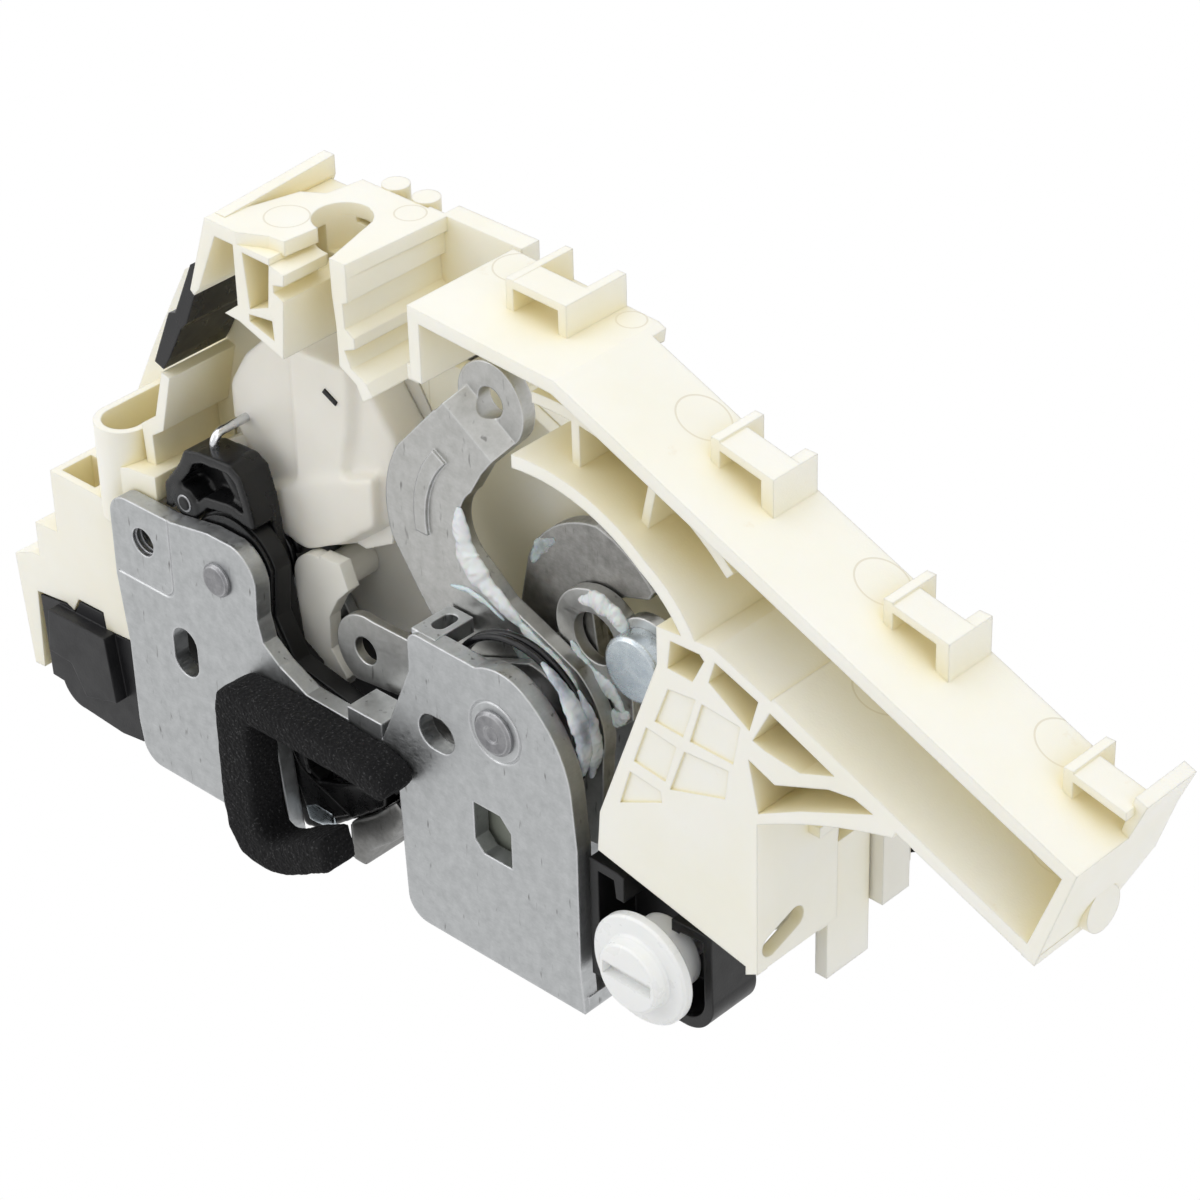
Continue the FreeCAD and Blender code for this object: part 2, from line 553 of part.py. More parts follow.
def make_lock_parts():
    body = new_body("lock_lever", LOCK_X, 0, LOCK_Z)
    pad(body, "Web", "front", 7.6, 1.8, poly(
        (-4.4, -3.6), ("arc", -4.3, 3.5), (0.2, 8.6), (6.4, 13.4), (11.5, 14.7),
        (16.0, 14.2), ("arc", 19.2, 12.6), (20.8, 10.0), (22.4, 1.5), (24.0, -8),
        (23.8, -17.8), (26.5, -19.5), (24.4, -23.4), (20.2, -21.6), (17.0, -16),
        (17.8, -11.1), ("arc", 16.1, -2.5), (7.1, -0.9), ("arc", 1.6, -4.9)))
    pad(body, "OuterWall", "front", plate_thick + seat_gap, 4.6, poly(
        (-4.4, -3.6), ("arc", -4.3, 3.5), (0.2, 8.6), (6.4, 13.4), (11.5, 14.7),
        (16.0, 14.2), ("arc", 19.2, 12.6), (20.8, 10.0), (22.4, 1.5), (22.9, -1.6),
        (20.8, -1.8), (20.2, 2.0), (18.7, 9.2), ("arc", 17.8, 11.0), (15.4, 12.3),
        (11.5, 12.7), (7.2, 11.6), (1.6, 7.2), (-2.2, 2.8), ("arc", -2.9, -0.4), (-2.6, -3.2)))
    pad(body, "InnerRib", "front", plate_thick + seat_gap, 4.6, poly(
        (1.1, -3.5), ("arc", 10.4, 2.2), (20.3, -5.0), (20.9, -1.6), ("arc", 10.4, 3.8),
        (1.1, -0.6)))
    pad(body, "Boss", "front", plate_thick + seat_gap, 4.6, circle(0, 0, 3.3))
    pocket(body, "Bore", "front", 2, 9, circle(0, 0, 1.56))
    pad(body, "Cross", "front", 5, 3, poly(
        (8.2, 8.6), (10.6, 9.8), (16.4, 3.2), (15.0, 1.4)))
    pocket(body, "WireHole", "top", 9.8, 8, circle(5.2, 6.0, 0.86))
    turned("lock_pin", LOCK_X, LOCK_Z, [
        (3.1, 0), (3.1, 1.5), (case_front - 2, 1.5), (case_front - 2, 2.6),
        (case_front - 0.02, 2.6), (case_front - 0.02, 1.5), (case_front + 1.8, 1.5),
        (case_front + 1.8, 0)])
    wire = new_body("link_wire", 12.6, 6.0, 19.2)
    pipe = wire.newObject("PartDesign::AdditivePipe", "Wire")
    round_wire = new_sketch(wire, "WireSection", "top", 0, [circle(0, 0, 0.8)])
    path = wire.newObject("Sketcher::SketchObject", "WirePath")
    plane = [f for f in wire.Origin.OriginFeatures if f.Role == "YZ_Plane"][0]
    path.AttachmentSupport = [(plane, "")]
    path.MapMode = "FlatFace"
    rise = path.addGeometry(Part.LineSegment(FreeCAD.Vector(0, 0, 0),
                                             FreeCAD.Vector(0, 6, 0)), False)
    bend = path.addGeometry(Part.Arc(FreeCAD.Vector(0, 6, 0), FreeCAD.Vector(0.88, 8.12, 0),
                                     FreeCAD.Vector(3, 9, 0)), False)
    back = path.addGeometry(Part.LineSegment(FreeCAD.Vector(3, 9, 0),
                                             FreeCAD.Vector(14, 9, 0)), False)
    for geometry in (rise, bend, back):
        path.addConstraint(Sketcher.Constraint("Block", geometry))
    pipe.Profile = round_wire
    pipe.Spine = path
    doc.recompute()
    wire.Tip = pipe
    link = new_body("output_lever", OUTPUT_X, 0, OUTPUT_Z)
    pad(link, "Lever", "front", 9.8, 2.4, poly(
        (-4.9, -1.6), ("arc", -1.4, 4.7), (4.9, 1.8), (4.6, -1.2), (2.4, -5.3),
        (2.2, -11.4), (5.6, -15.6), (4.6, -17.7), (0.6, -19.2), (-4.0, -15.2),
        (-4.8, -10.4)))
    pad(link, "Fin", "front", 9.8, 2.4, poly((1, 5.4), (5.6, 5.8), (7.2, 1.6), (3, -3)))
    pad(link, "Shaft", "front", 12.0, wheel_start + wheel_thick - 0.2 - 12.0,
        circle(0, 0, 3.0))
    return body


# Outlines shared by the case and its inner cover
CASE_OUTLINE = [
    (-26, -40), (100, -40), (124.8, -23), (125.2, -3), (129, -2), (129, 16), (64.2, 43),
    (64.2, 50), (20, 50), (4, 46), (-8, 38), (-18, 20), (-26, 4)]
CASE_HOLLOW = [
    (-24, -38), (99.4, -38), (122.8, -21.9), (123.2, -1.4), (127, -0.4), (127, 14.7),
    (62.2, 41.7), (62.2, 48), (20.3, 48), (4.8, 44.1), (-6.5, 36.6), (-16.1, 19.2), (-24, 3.5)]
COVER_OUTLINE = [
    (1.2, 12), (14, 36), (20, 41), (42, 41), (50, 28), (52, 4), (42, -8), (26, -20),
    (1.2, -20)]
KNOB_X = 109.0
KNOB_Z = -26.6
CUP_X = -11.0
CUP_Y = 7.4


# Inner cover: milky moulding that closes the drive chamber behind the latch
def make_inner_cover():
    body = new_body("inner_cover")
    pad(body, "Cover", "front", case_front, wall, poly(*COVER_OUTLINE))
    pad(body, "Dome", "front", case_front - 7, 7.5, poly(
        (12, 16), (20, 39.6), (38, 40.6), (46, 30), (44, 12), (38, 8.5), (20, 10)))
    pad(body, "Rib", "front", case_front - 4, 4.5, poly(
        (2, 12), (3.5, 10.8), (14, 17), (13, 19)))
    pocket(body, "ShaftHole", "front", case_front - 8, 12, circle(OUTPUT_X, OUTPUT_Z, 3.06))
    pocket(body, "PinHole", "front", case_front - 8, 12, circle(LOCK_X, LOCK_Z, 1.52))
    return body


# Main case: the tray of the drive, the front wall, and the stepped housing on the left
def grown(points, amount):
    """The same outline, moved outwards from its middle by an amount at each corner."""
    middle_x = sum(point[0] for point in points) / len(points)
    middle_y = sum(point[1] for point in points) / len(points)
    moved = []
    for x, y in points:
        reach = math.hypot(x - middle_x, y - middle_y)
        moved.append((x + (x - middle_x) / reach * amount, y + (y - middle_y) / reach * amount))
    return moved


def make_main_case():
    body = new_body("main_case")
    pad(body, "Tray", "front", tray_front, case_depth, poly(*CASE_OUTLINE))
    pocket(body, "Hollow", "front", case_front + 1, case_depth - 1, poly(*CASE_HOLLOW))
    pad(body, "FrontWall", "front", case_front, wall + 0.7, poly(
        (-26, -40), (100, -40), (124.4, -23.2), (123.4, -3), (123.4, 18), (64.2, 42.8),
        (64.2, 43.4), (0.5, 43.4), (-8, 38), (-18, 20), (-26, 4)),
        poly(*grown(COVER_OUTLINE, 0.5)), circle(KNOB_X, KNOB_Z, 3.5))
    pocket(body, "BlockSeat", "front", case_front - 1, 8, rect(14, 43.7, 67, 70))
    pad(body, "LeftBlock", "front", skin_front, case_front + wall + 0.3 - skin_front, poly(
        (0.4, 10.6), (-6.2, 9.8), (-9.4, 8.6), (-10.7, 5.4), (-10.8, 1.0), (-26.6, 1.0),
        (-26.6, -11.0), (-32.3, -11.4), (-32.2, -18.0), (-34.8, -18.4), (-38.9, -20.3),
        (-36.9, -41.7), (-34.5, -41.5), (-33.9, -25.8), (-26.3, -24.8), (-24.5, -25.5),
        (-23.0, -22.7), (-16.7, -22.5), (-16.3, -25.7), (-7.2, -24.9), (-7.2, 2.0),
        (-2.6, 3.0), (0.4, 6.2)))
    pad(body, "LeftWall", "front", 6.5, case_front + wall + 0.4 - 6.5, poly(
        (0.8, 28.7), (-1.8, 19.5), (-5.4, 17.0), (-4.6, 6.0), (-2.6, 6.0), (-3.0, 15.6),
        (-0.2, 17.6), (2.6, 28.2)))
    make_cup(body)
    pocket(body, "BoxHollow", "top", -8, 10, rect(-25.2, 4.8, -17, 11))
    return body


# Round-nosed cup standing on the left housing, open at the top
def make_cup(body):
    outer = 4.9
    inner = 3.6
    pad(body, "CupOuter", "top", -2, 17.4, poly(
        (CUP_X - outer, 22.4), (CUP_X - outer, CUP_Y), ("arc", CUP_X, CUP_Y - outer),
        (CUP_X + outer, CUP_Y + 0.2), (CUP_X + outer, 22.4)))
    pocket(body, "CupHollow", "top", 0.5, 16, poly(
        (CUP_X - inner, 21), (CUP_X - inner, CUP_Y), ("arc", CUP_X, CUP_Y - inner),
        (CUP_X + inner, CUP_Y + 0.2), (CUP_X + inner, 21)))


# Cable block on top: cells in front, an arc notch, a slanted wall and the stepped rail
def make_cable_block():
    body = new_body("cable_block")
    block_back = 23.5
    pad(body, "TopPlate", "top", 63.6, 2.4, poly(
        (22.5, 0), (29, 0), (33.6, 2.3), (36.6, 2.6), (37.2, 8.7), ("arc", 33.0, 13.5),
        (38.6, 17.9), (41.8, 15.4), (45, 4.1), (48.3, 3.5), (49, block_back),
        (31.3, block_back), (30.4, 17), (27, 14.8), (25.2, 8.3)))
    pad(body, "LowShelf", "top", 61.6, 2.2, rect(22.6, 8, 31.5, block_back))
    pad(body, "SlantWall", "front", 0, block_back + 0.7, poly(
        (22.3, 66), (17.6, 52.3), (18.4, 51.6), (19.7, 53.2), (24.6, 64.4), (24.6, 66)))
    pad(body, "SlantTop", "side", 22.4, 2.2, poly(
        (2, 65.8), (2, 66.1), (24.2, 67.6), (24.2, 65.8)))
    pad(body, "Pillar", "front", 0, block_back, poly(
        (28.2, 64), (28.2, 50.9), (37.4, 47.8), (38.4, 57.8), (36.4, 58.6), (36.4, 59.8),
        (38.6, 60.4), (38.9, 62.3), (35.9, 62.9), (35.9, 64)))
    pocket(body, "NotchWell", "top", 58.5, 8, circle(37.6, 13.3, 4.6))
    pocket(body, "CellUpper", "front", -1, 15, poly(
        (30.1, 63.0), (30.9, 53.9), (35.0, 55.6), (35.8, 62.9)))
    pocket(body, "CellLower", "front", -1, 9, poly(
        (30.6, 52.9), (30.6, 51.7), (35.8, 50.3), (35.6, 53.6)))
    pad(body, "Toe", "front", 0, 20, poly((25.1, 51.1), (28.3, 53.6), (28.3, 50.9)))
    pad(body, "StepRail", "front", 3.5, block_back + 0.5 - 3.5, poly(
        (45, 66), (45.1, 60.3), (45.6, 55), (45.7, 48.4), (49.1, 46.5), (50.3, 44),
        (52.4, 45.6), (51.2, 47.4), (48.2, 48.8), (47, 51.4), (49.2, 52.4), (49.2, 54.2),
        (47.4, 55.2), (47.2, 59.2), (48.3, 59.8), (48.3, 66)))
    pad(body, "BackWall", "front", block_back - 0.1, 3.6, poly(
        (28, 46), (64.2, 46), (64.2, 66), (48, 66), (48, 62), (28, 62)))
    pad(body, "BackPegs", "top", 58, 8.2, circle(36.2, 25.6, 2.2), circle(42.6, 25.6, 2.2))
    return body


# Guide arm: a deep channel with ribs, clip loops, end plate and the front bracket
def make_guide_arm():
    body = new_body("guide_arm")
    pad(body, "Web", "front", arm_depth - arm_wall, arm_wall, poly(
        (64.5, arm_top), (92.7, 65.6), (arm_end_x, arm_end_z), (177.6, 9.5), (153, 19.8),
        (137.2, 13.4), (129.4, 9.6), (128.5, -5), (118, -5), (118, 30), (108, 41.5),
        ("arc", 97.2, 47.2), (84, 48.2), (84, 55), (64.5, 55)))
    pad(body, "CaseFoot", "front", arm_depth - 0.5, case_front + wall - arm_depth + 0.4,
        circle(127.2, 4, 3.2))
    pad(body, "Deck", "front", 0, arm_depth, poly(
        (64.5, arm_top), (92.7, 65.6), (arm_end_x, arm_end_z), (arm_end_x - 0.9, arm_end_z - 2.1),
        (92.2, 63.4), (64.5, arm_top - arm_wall)))
    pad(body, "DeckBack", "front", arm_depth - 0.5, 3.3, poly(
        (64.5, arm_top), (92.7, 65.6), (94, 65.0), (93.6, 62.8), (92.2, 63.4),
        (64.5, arm_top - arm_wall)))
    pad(body, "LeftEnd", "front", 0, arm_depth, rect(64.5, 55, 66.7, 66.5))
    pad(body, "LeftTab", "front", 1, 3, rect(62.8, 54, 65, 56.4))
    pad(body, "LowerFlange", "front", 0, arm_depth, poly(
        (177.6, 9.5), (131.2, 29.1), (132.2, 31.2), (178.4, 11.7)))
    pad(body, "LowerArc", "front", 0, arm_depth, poly(
        (84, 48.2), ("arc", 97.2, 47.2), (108, 41.5), ("arc", 113, 37.4), (116.6, 32.2),
        (118.4, 33.6), ("arc", 114.6, 39.2), (109.3, 43.3), ("arc", 97.8, 49.3), (84, 50.4)))
    pad(body, "CurvedRib", "front", 4, arm_depth - 4.5, poly(
        (84.5, 57.2), ("arc", 104, 54.4), (120.5, 43.6), (121.7, 44.9), ("arc", 104.6, 56.2),
        (84.5, 59.0)))
    for index, (low, high) in enumerate((((92, 50), (92, 58)), ((104.5, 46), (106.5, 53.6)))):
        pad(body, "ShortRib%d" % (index + 1), "front", 4, arm_depth - 4.5, poly(
            (low[0], low[1] - 1), (low[0] + 1.5, low[1] - 1), (high[0] + 1.5, high[1]), high))
    make_arm_end(body)
    make_arm_bracket(body)
    make_arm_clips(body)
    return body


# End plate of the arm, with its fin, its boss and the corner cut off behind
def make_arm_end(body):
    end_depth = arm_depth + 3.0
    pad(body, "EndPlate", "front", 0, end_depth, poly(
        (arm_end_x, arm_end_z), (177.6, 9.5), (175.4, 10.3), (arm_end_x - 2.4, arm_end_z - 1.6)))
    pad(body, "EndFin", "front", 11, end_depth - 11, poly(
        (arm_end_x - 0.6, arm_end_z - 1.2), (arm_end_x, arm_end_z), (186.2, 33.4),
        (184.2, 34.2), (181.6, 25.4)))
    pocket(body, "EndCorner", "side", 174.6, 10, poly((13.5, 9), (22, 19), (24, 19), (24, 8)))
    pad(body, "EndBoss", "side", 176, 4, circle(11.5, 13.5, 3.6))


# Front bracket of the arm: a flat face, a side wall with a slot, and four cells
BRACKET_CELLS = [
    [(113.6, 32.3), (119.0, 32.5), (119.8, 31.7), (117.6, 27.3), (113.0, 27.5)],
    [(121.8, 32.4), (129.6, 29.5), (128.0, 23.9), (120.6, 28.6)],
    [(131.7, 28.6), (128.6, 22.6), (130.8, 21.9), (137.1, 21.2), (143.2, 23.6)],
    [(127.8, 19.0), (129.6, 10.6), (137.2, 14.8), (150.0, 20.6), (146.6, 21.6), (142.1, 20.9),
     (132.6, 17.0)]]
BRACKET_PANELS = [
    [(113.0, 23.9), (118.1, 24.5), (115.7, 17.0), (110.4, 17.2)],
    [(119.3, 24.3), (126.3, 23.7), (125.0, 16.8), (117.0, 16.9)],
    [(108.7, 15.4), (114.4, 14.6), (112.2, 7.6), (106.2, 8.3)],
    [(115.9, 14.6), (124.1, 15.2), (123.5, 10.1), (113.1, 6.7)],
    [(105.4, 6.1), (111.2, 5.4), (111.5, 3.6), (103.3, -0.4)]]


def make_arm_bracket(body):
    core_depth = arm_depth - arm_wall + 0.2
    pad(body, "BracketFace", "front", 0, arm_wall, poly(
        (113.4, 33.6), (99.2, -4.1), (98.6, -11.3), (129.4, -18.2), (129.4, 9),
        (131.4, 29.6), (120.4, 33.4)))
    pad(body, "BracketCore", "front", 0, core_depth, poly(
        (111, 33.6), (121.5, 34.6), (131.6, 30.8), (154.5, 20.6), (153.4, 18.4),
        ("arc", 137.2, 12.6), (129.4, 8.6), (126.6, 8.6), (125.4, 19), (116.4, 25.8),
        (111, 26.2)))
    for index, cell in enumerate(BRACKET_CELLS):
        pocket(body, "BracketCell%d" % (index + 1), "front", -1, core_depth - 1.1, poly(*cell))
    for index, panel in enumerate(BRACKET_PANELS):
        pocket(body, "BracketPanel%d" % (index + 1), "front", -0.5, 0.85, poly(*panel))
    pad(body, "BracketSide", "front", 0, 17.5, poly(
        (127.2, -19.2), (129.4, -18), (129.4, 10), (127.2, 10)))
    pocket(body, "SideSlot", "side", 126.6, 4, slot(3.0, -14.4, 8.2, -12.6, 1.9))
    pad(body, "SideFin", "front", 17, 9.4, poly((125.8, -30), (128, -30), (128, -6), (125.8, -6)))
    pad(body, "SideFinRoot", "front", 15, 4, rect(125.8, -20, 128, -4))
    pad(body, "SideShelf", "top", 1.0, 1.8, rect(127.4, 11, 131.5, 17.4))


# Clip loops on the deck: two upright plates each, joined by a roof over a short tunnel
def make_arm_clips(body):
    drop = (65.6 - 27.3) / (183.6 - 92.7)
    clip_loop(body, 1, (75.0, 76.4, 65.0, 71.3), (85.0, 86.6, 65.0, 71.0), 21.4)
    for index in range(3):
        shift = clip_step * index
        fall = shift * drop
        left = (113.1 + shift, 114.7 + shift, 55.6 - fall, 60.7 - fall)
        right = (122.1 + shift, 124.3 + shift, 51.0 - fall, 58.3 - fall)
        clip_loop(body, index + 2, left, right, 18.3)


def clip_loop(body, number, left, right, back):
    """One clip: each plate is given by its left, right, bottom and top."""
    clip_front = 9.2
    roof_thick = 1.3
    for name, plate in (("Left", left), ("Right", right)):
        if name == "Right" and number == 4:
            continue
        pad(body, "Clip%s%d" % (name, number), "front", clip_front, back - clip_front,
            rect(plate[0], plate[2], plate[1], plate[3]))
    end = right[1] if number < 4 else right[1] - 1.0
    pad(body, "ClipRoof%d" % number, "front", clip_front, 5.6, poly(
        (left[0], left[3]), (left[0], left[3] - roof_thick),
        (end, right[3] - roof_thick), (end, right[3])))


# Lower cover, with the child lock knob in front of it
def make_lower_cover():
    body = new_body("lower_cover")
    cover_front = 1.5
    cover_deep = 9.5
    pad(body, "Shell", "front", cover_front, cover_deep, poly(
        (95.3, -15.2), (101.1, -15.4), (111.3, -18.2), (119.3, -17.8), (119.5, -30.1),
        ("arc", 118.4, -34.4), (114.4, -36.6), (95.3, -37.0)))
    pocket(body, "Hollow", "front", cover_front - 1, cover_deep - 0.6, poly(
        (97.0, -16.9), (100.2, -17.0), (100.6, -20.2), (113.0, -20.2), (113.2, -19.8),
        (117.7, -19.4), (117.9, -30), ("arc", 117.0, -33.2), (113.8, -34.8), (97.0, -35.3)))
    pocket(body, "TopGap", "front", cover_front - 1, cover_deep - 0.6, poly(
        (102.2, -14), (102.2, -22), (111.6, -22), (111.6, -14)))
    pad(body, "Boss", "front", cover_front + cover_deep - 0.5,
        case_front - 0.3 - (cover_front + cover_deep - 0.5), circle(KNOB_X, KNOB_Z, 6.5))
    shaft = 3.2
    pocket(body, "ShaftHole", "front", 5, 20, circle(KNOB_X, KNOB_Z, shaft + 0.06))
    knob = turned("child_lock_knob", KNOB_X, KNOB_Z, [
        (-5.6, 0), (-5.6, 5.4), (-5.2, 5.8), (-3.4, 5.8), (-3.0, 6.2), (-3.0, knob_radius - 0.4),
        (-2.6, knob_radius), (-1.4, knob_radius), (-1.0, knob_radius - 0.4), (-1.0, 6.0),
        (4.0, 6.0), (4.0, shaft), (case_front + 1, shaft), (case_front + 1, 0)])
    pocket(knob, "DriverSlot", "front", -6.5, 2.6, rect(-4.7, -1.1, 4.7, 1.1))
    return body


# Connector: black shroud open below, with a latch block in front and pins inside
def make_connector():
    body = new_body("connector_housing")
    pad(body, "Shell", "front", skin_front, case_front - 0.3 - skin_front, poly(
        (-33.2, -26.2), (-32.4, -42.1), (-29.6, -42.2), ("arc", -27.9, -44.6),
        (-24.5, -45.6), (-15, -46.2), (-9.6, -45.4), (-9.6, -25.4), (-16.5, -26.1),
        (-17.0, -22.9), (-22.7, -23.1), (-24.2, -25.9), (-26.3, -25.2)))
    pocket(body, "Socket", "top", -47, 15, rect(-28.5, 7, -12.5, 18.5))
    pad(body, "LatchBlock", "front", 1.0, 2.6, poly(
        (-28.5, -26), (-14.3, -25.6), (-12.8, -37.8), (-20.7, -40.1), (-23.8, -34.7),
        (-29.4, -34.5)))
    blades = []
    for row in range(2):
        for column in range(4):
            blade = doc.addObject("Part::Box", "Blade%d%d" % (row + 1, column + 1))
            bind(blade, "Length", 0.8)
            bind(blade, "Width", 1.6)
            bind(blade, "Height", 8.95)
            spot = FreeCAD.Vector(-25.0 + column * 3.8, 9.5 + row * 5.0, -41.0)
            blade.Placement = FreeCAD.Placement(spot, FreeCAD.Rotation())
            blades.append(blade)
    group = doc.addObject("Part::Compound", "connector_pins")
    group.Links = blades
    group.Label = "connector_pins"
    nodes["connector_pins"] = group
    return body


# Black rear cover, closing the tray
def make_rear_cover():
    body = new_body("rear_cover")
    pad(body, "Cover", "front", cover_start, cover_depth, poly(
        (-26, -38), (98, -38), (126, -21), (129, -8), (129, 14), (64, 40), (20, 40), (0, 34),
        (-18, 26), (-26, 8)))
    round_edges(body, "CoverCorners", "y", 8.0, [
        (-26, -38), (98, -38), (129, 14), (-18, 26)])
    pocket(body, "Hollow", "front", cover_start - 1, cover_depth - 1.2, poly(
        (-20, -35), (97, -35), (120, -21), (124, -8), (124, 12), (63, 37), (21, 37), (2, 31.5),
        (-15, 24), (-22, 7)))
    return body


# Drive inside the tray: motor, worm, worm wheel, switches and board
def make_drive():
    along_x = FreeCAD.Rotation(FreeCAD.Vector(0, 1, 0), 90)
    worm_radius = 2.4
    worm_z = OUTPUT_Z - wheel_radius - worm_radius - 2 * drive_gap
    for name, x, radius in (("motor", 56.0, motor_radius), ("worm_shaft", 25.7, worm_radius)):
        cylinder = doc.addObject("Part::Cylinder", name)
        bind(cylinder, "Radius", radius)
        bind(cylinder, "Height", 30.0)
        cylinder.Placement = FreeCAD.Placement(FreeCAD.Vector(x, 0, 0), along_x)
        bind(cylinder, "Placement.Base.y", drive_y)
        bind(cylinder, "Placement.Base.z", worm_z)
        nodes[name] = cylinder
    wheel = turned("worm_wheel", OUTPUT_X, OUTPUT_Z, [
        (wheel_start, 3.02), (wheel_start, wheel_radius),
        (wheel_start + wheel_thick, wheel_radius), (wheel_start + wheel_thick, 3.02)])
    board_thick = 1.6
    drive_box("circuit_board", 66, -12, 40.0, board_thick, 26.0)
    for index, z in enumerate((8, 22)):
        switch_x = OUTPUT_X + wheel_radius + 1.2
        drive_box("micro_switch_%d" % (index + 1), switch_x, z, 12.0, 9.0, 6.5)
    return wheel


def drive_box(name, x, z, length, depth, height):
    """A box inside the tray, standing just clear of the tray's floor."""
    box = doc.addObject("Part::Box", name)
    bind(box, "Length", length)
    bind(box, "Width", depth)
    bind(box, "Height", height)
    bind(box, "Placement.Base.x", x)
    bind(box, "Placement.Base.y", tray_floor - seat_gap - depth)
    bind(box, "Placement.Base.z", z)
    nodes[name] = box


# Small fittings: black top clip, white side clip, rubber bumper and the cover screws
def make_fittings():
    clip = new_body("top_clip")
    pad(clip, "Clip", "front", 7, case_front - seat_gap - 7, poly(
        (9.6, 50.7), (4.9, 40.6), (3.3, 40.0), (-1.2, 29.7), (0.8, 29.0), (2.4, 31.5),
        (6.0, 38.2), (7.4, 39.6), (12.0, 50.2)))
    tab = new_body("side_clip")
    pad(tab, "Tab", "side", 125.6, 4.6, rect(
        tray_front + 4.4, -21, tray_front + 10.5, -8))
    bumper = new_body("claw_bumper")
    pad(bumper, "Block", "front", plate_thick + seat_gap, 4.0, rect(-4.4, -36, -1.5, -28))
    screw_head = 2.0
    screws = []
    for index, (x, z) in enumerate(((-20, -30), (90, -34), (122, 8), (-10, 22))):
        screw = doc.addObject("Part::Cylinder", "Screw%d" % (index + 1))
        bind(screw, "Radius", 3.2)
        bind(screw, "Height", screw_head)
        screw.Placement = FreeCAD.Placement(
            FreeCAD.Vector(x, 0, z), FreeCAD.Rotation(FreeCAD.Vector(1, 0, 0), 90))
        bind(screw, "Placement.Base.y", cover_start + cover_depth + drive_gap + screw_head)
        screws.append(screw)
    group = doc.addObject("Part::Compound", "cover_screws")
    group.Links = screws
    group.Label = "cover_screws"
    nodes["cover_screws"] = group


make_striker_plate()
make_mouth_seal()
make_mouth_guide()
make_pins()
make_back_plate()
make_claw()
make_pawl()
make_springs()
make_release_lever()
make_rear_levers()
make_lock_parts()
make_inner_cover()
make_main_case()
make_cable_block()
make_guide_arm()
make_lower_cover()
make_connector()
make_rear_cover()
make_drive()
make_fittings()
doc.recompute()


# Check every object, then write one file for each node
broken = [t.Name for t in doc.Objects if "Invalid" in t.State or "Error" in t.State]
if broken:
    raise RuntimeError("objects in error: " + ", ".join(broken))
for name, thing in nodes.items():
    shape = thing.Shape
    if shape.isNull() or not shape.isValid():
        raise RuntimeError("bad shape: " + name)
    shape.exportStep("parts/" + name + ".step")
    box = shape.BoundBox
    print("%-18s solids %d volume %.0f x %.1f..%.1f y %.1f..%.1f z %.1f..%.1f" % (
        name, len(shape.Solids), shape.Volume, box.XMin, box.XMax, box.YMin, box.YMax,
        box.ZMin, box.ZMax))
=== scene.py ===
import json
import math

import bpy
import numpy as np
from mathutils import Matrix, Vector


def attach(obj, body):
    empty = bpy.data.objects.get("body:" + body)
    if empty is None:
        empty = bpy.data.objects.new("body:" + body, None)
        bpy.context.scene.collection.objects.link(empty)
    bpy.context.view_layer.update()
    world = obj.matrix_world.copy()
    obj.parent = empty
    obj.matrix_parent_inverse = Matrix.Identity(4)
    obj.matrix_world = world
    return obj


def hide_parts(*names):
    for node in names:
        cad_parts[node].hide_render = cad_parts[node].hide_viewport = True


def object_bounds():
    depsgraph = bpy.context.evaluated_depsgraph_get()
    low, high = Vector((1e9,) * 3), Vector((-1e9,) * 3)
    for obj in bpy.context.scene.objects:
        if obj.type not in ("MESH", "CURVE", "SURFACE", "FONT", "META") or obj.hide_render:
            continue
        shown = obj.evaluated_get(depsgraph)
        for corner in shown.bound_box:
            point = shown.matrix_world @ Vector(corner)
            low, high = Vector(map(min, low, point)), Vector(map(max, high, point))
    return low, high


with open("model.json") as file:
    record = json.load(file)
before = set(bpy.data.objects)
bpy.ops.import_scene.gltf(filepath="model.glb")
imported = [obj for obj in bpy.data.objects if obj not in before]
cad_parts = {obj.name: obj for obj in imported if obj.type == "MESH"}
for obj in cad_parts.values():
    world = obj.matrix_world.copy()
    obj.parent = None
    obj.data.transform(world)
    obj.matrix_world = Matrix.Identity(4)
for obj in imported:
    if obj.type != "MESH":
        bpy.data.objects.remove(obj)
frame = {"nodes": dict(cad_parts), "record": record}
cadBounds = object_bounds()
nodes = frame["nodes"]
print("frame loaded:", len(nodes), "nodes")

mm = 0.001


# Colours are written as the eye sees them on screen, 0 to 255
def seen(red, green, blue):
    linear = []
    for value in (red, green, blue):
        value = value / 255
        linear.append(value / 12.92 if value <= 0.04045 else ((value + 0.055) / 1.055) ** 2.4)
    return (*linear, 1.0)


darkNick = seen(74, 72, 68)
# Colour of the painted highlight on steel edges
edgeHighlight = seen(225, 226, 228)
ringShade = seen(206, 196, 170)
greaseShade = seen(226, 229, 232)


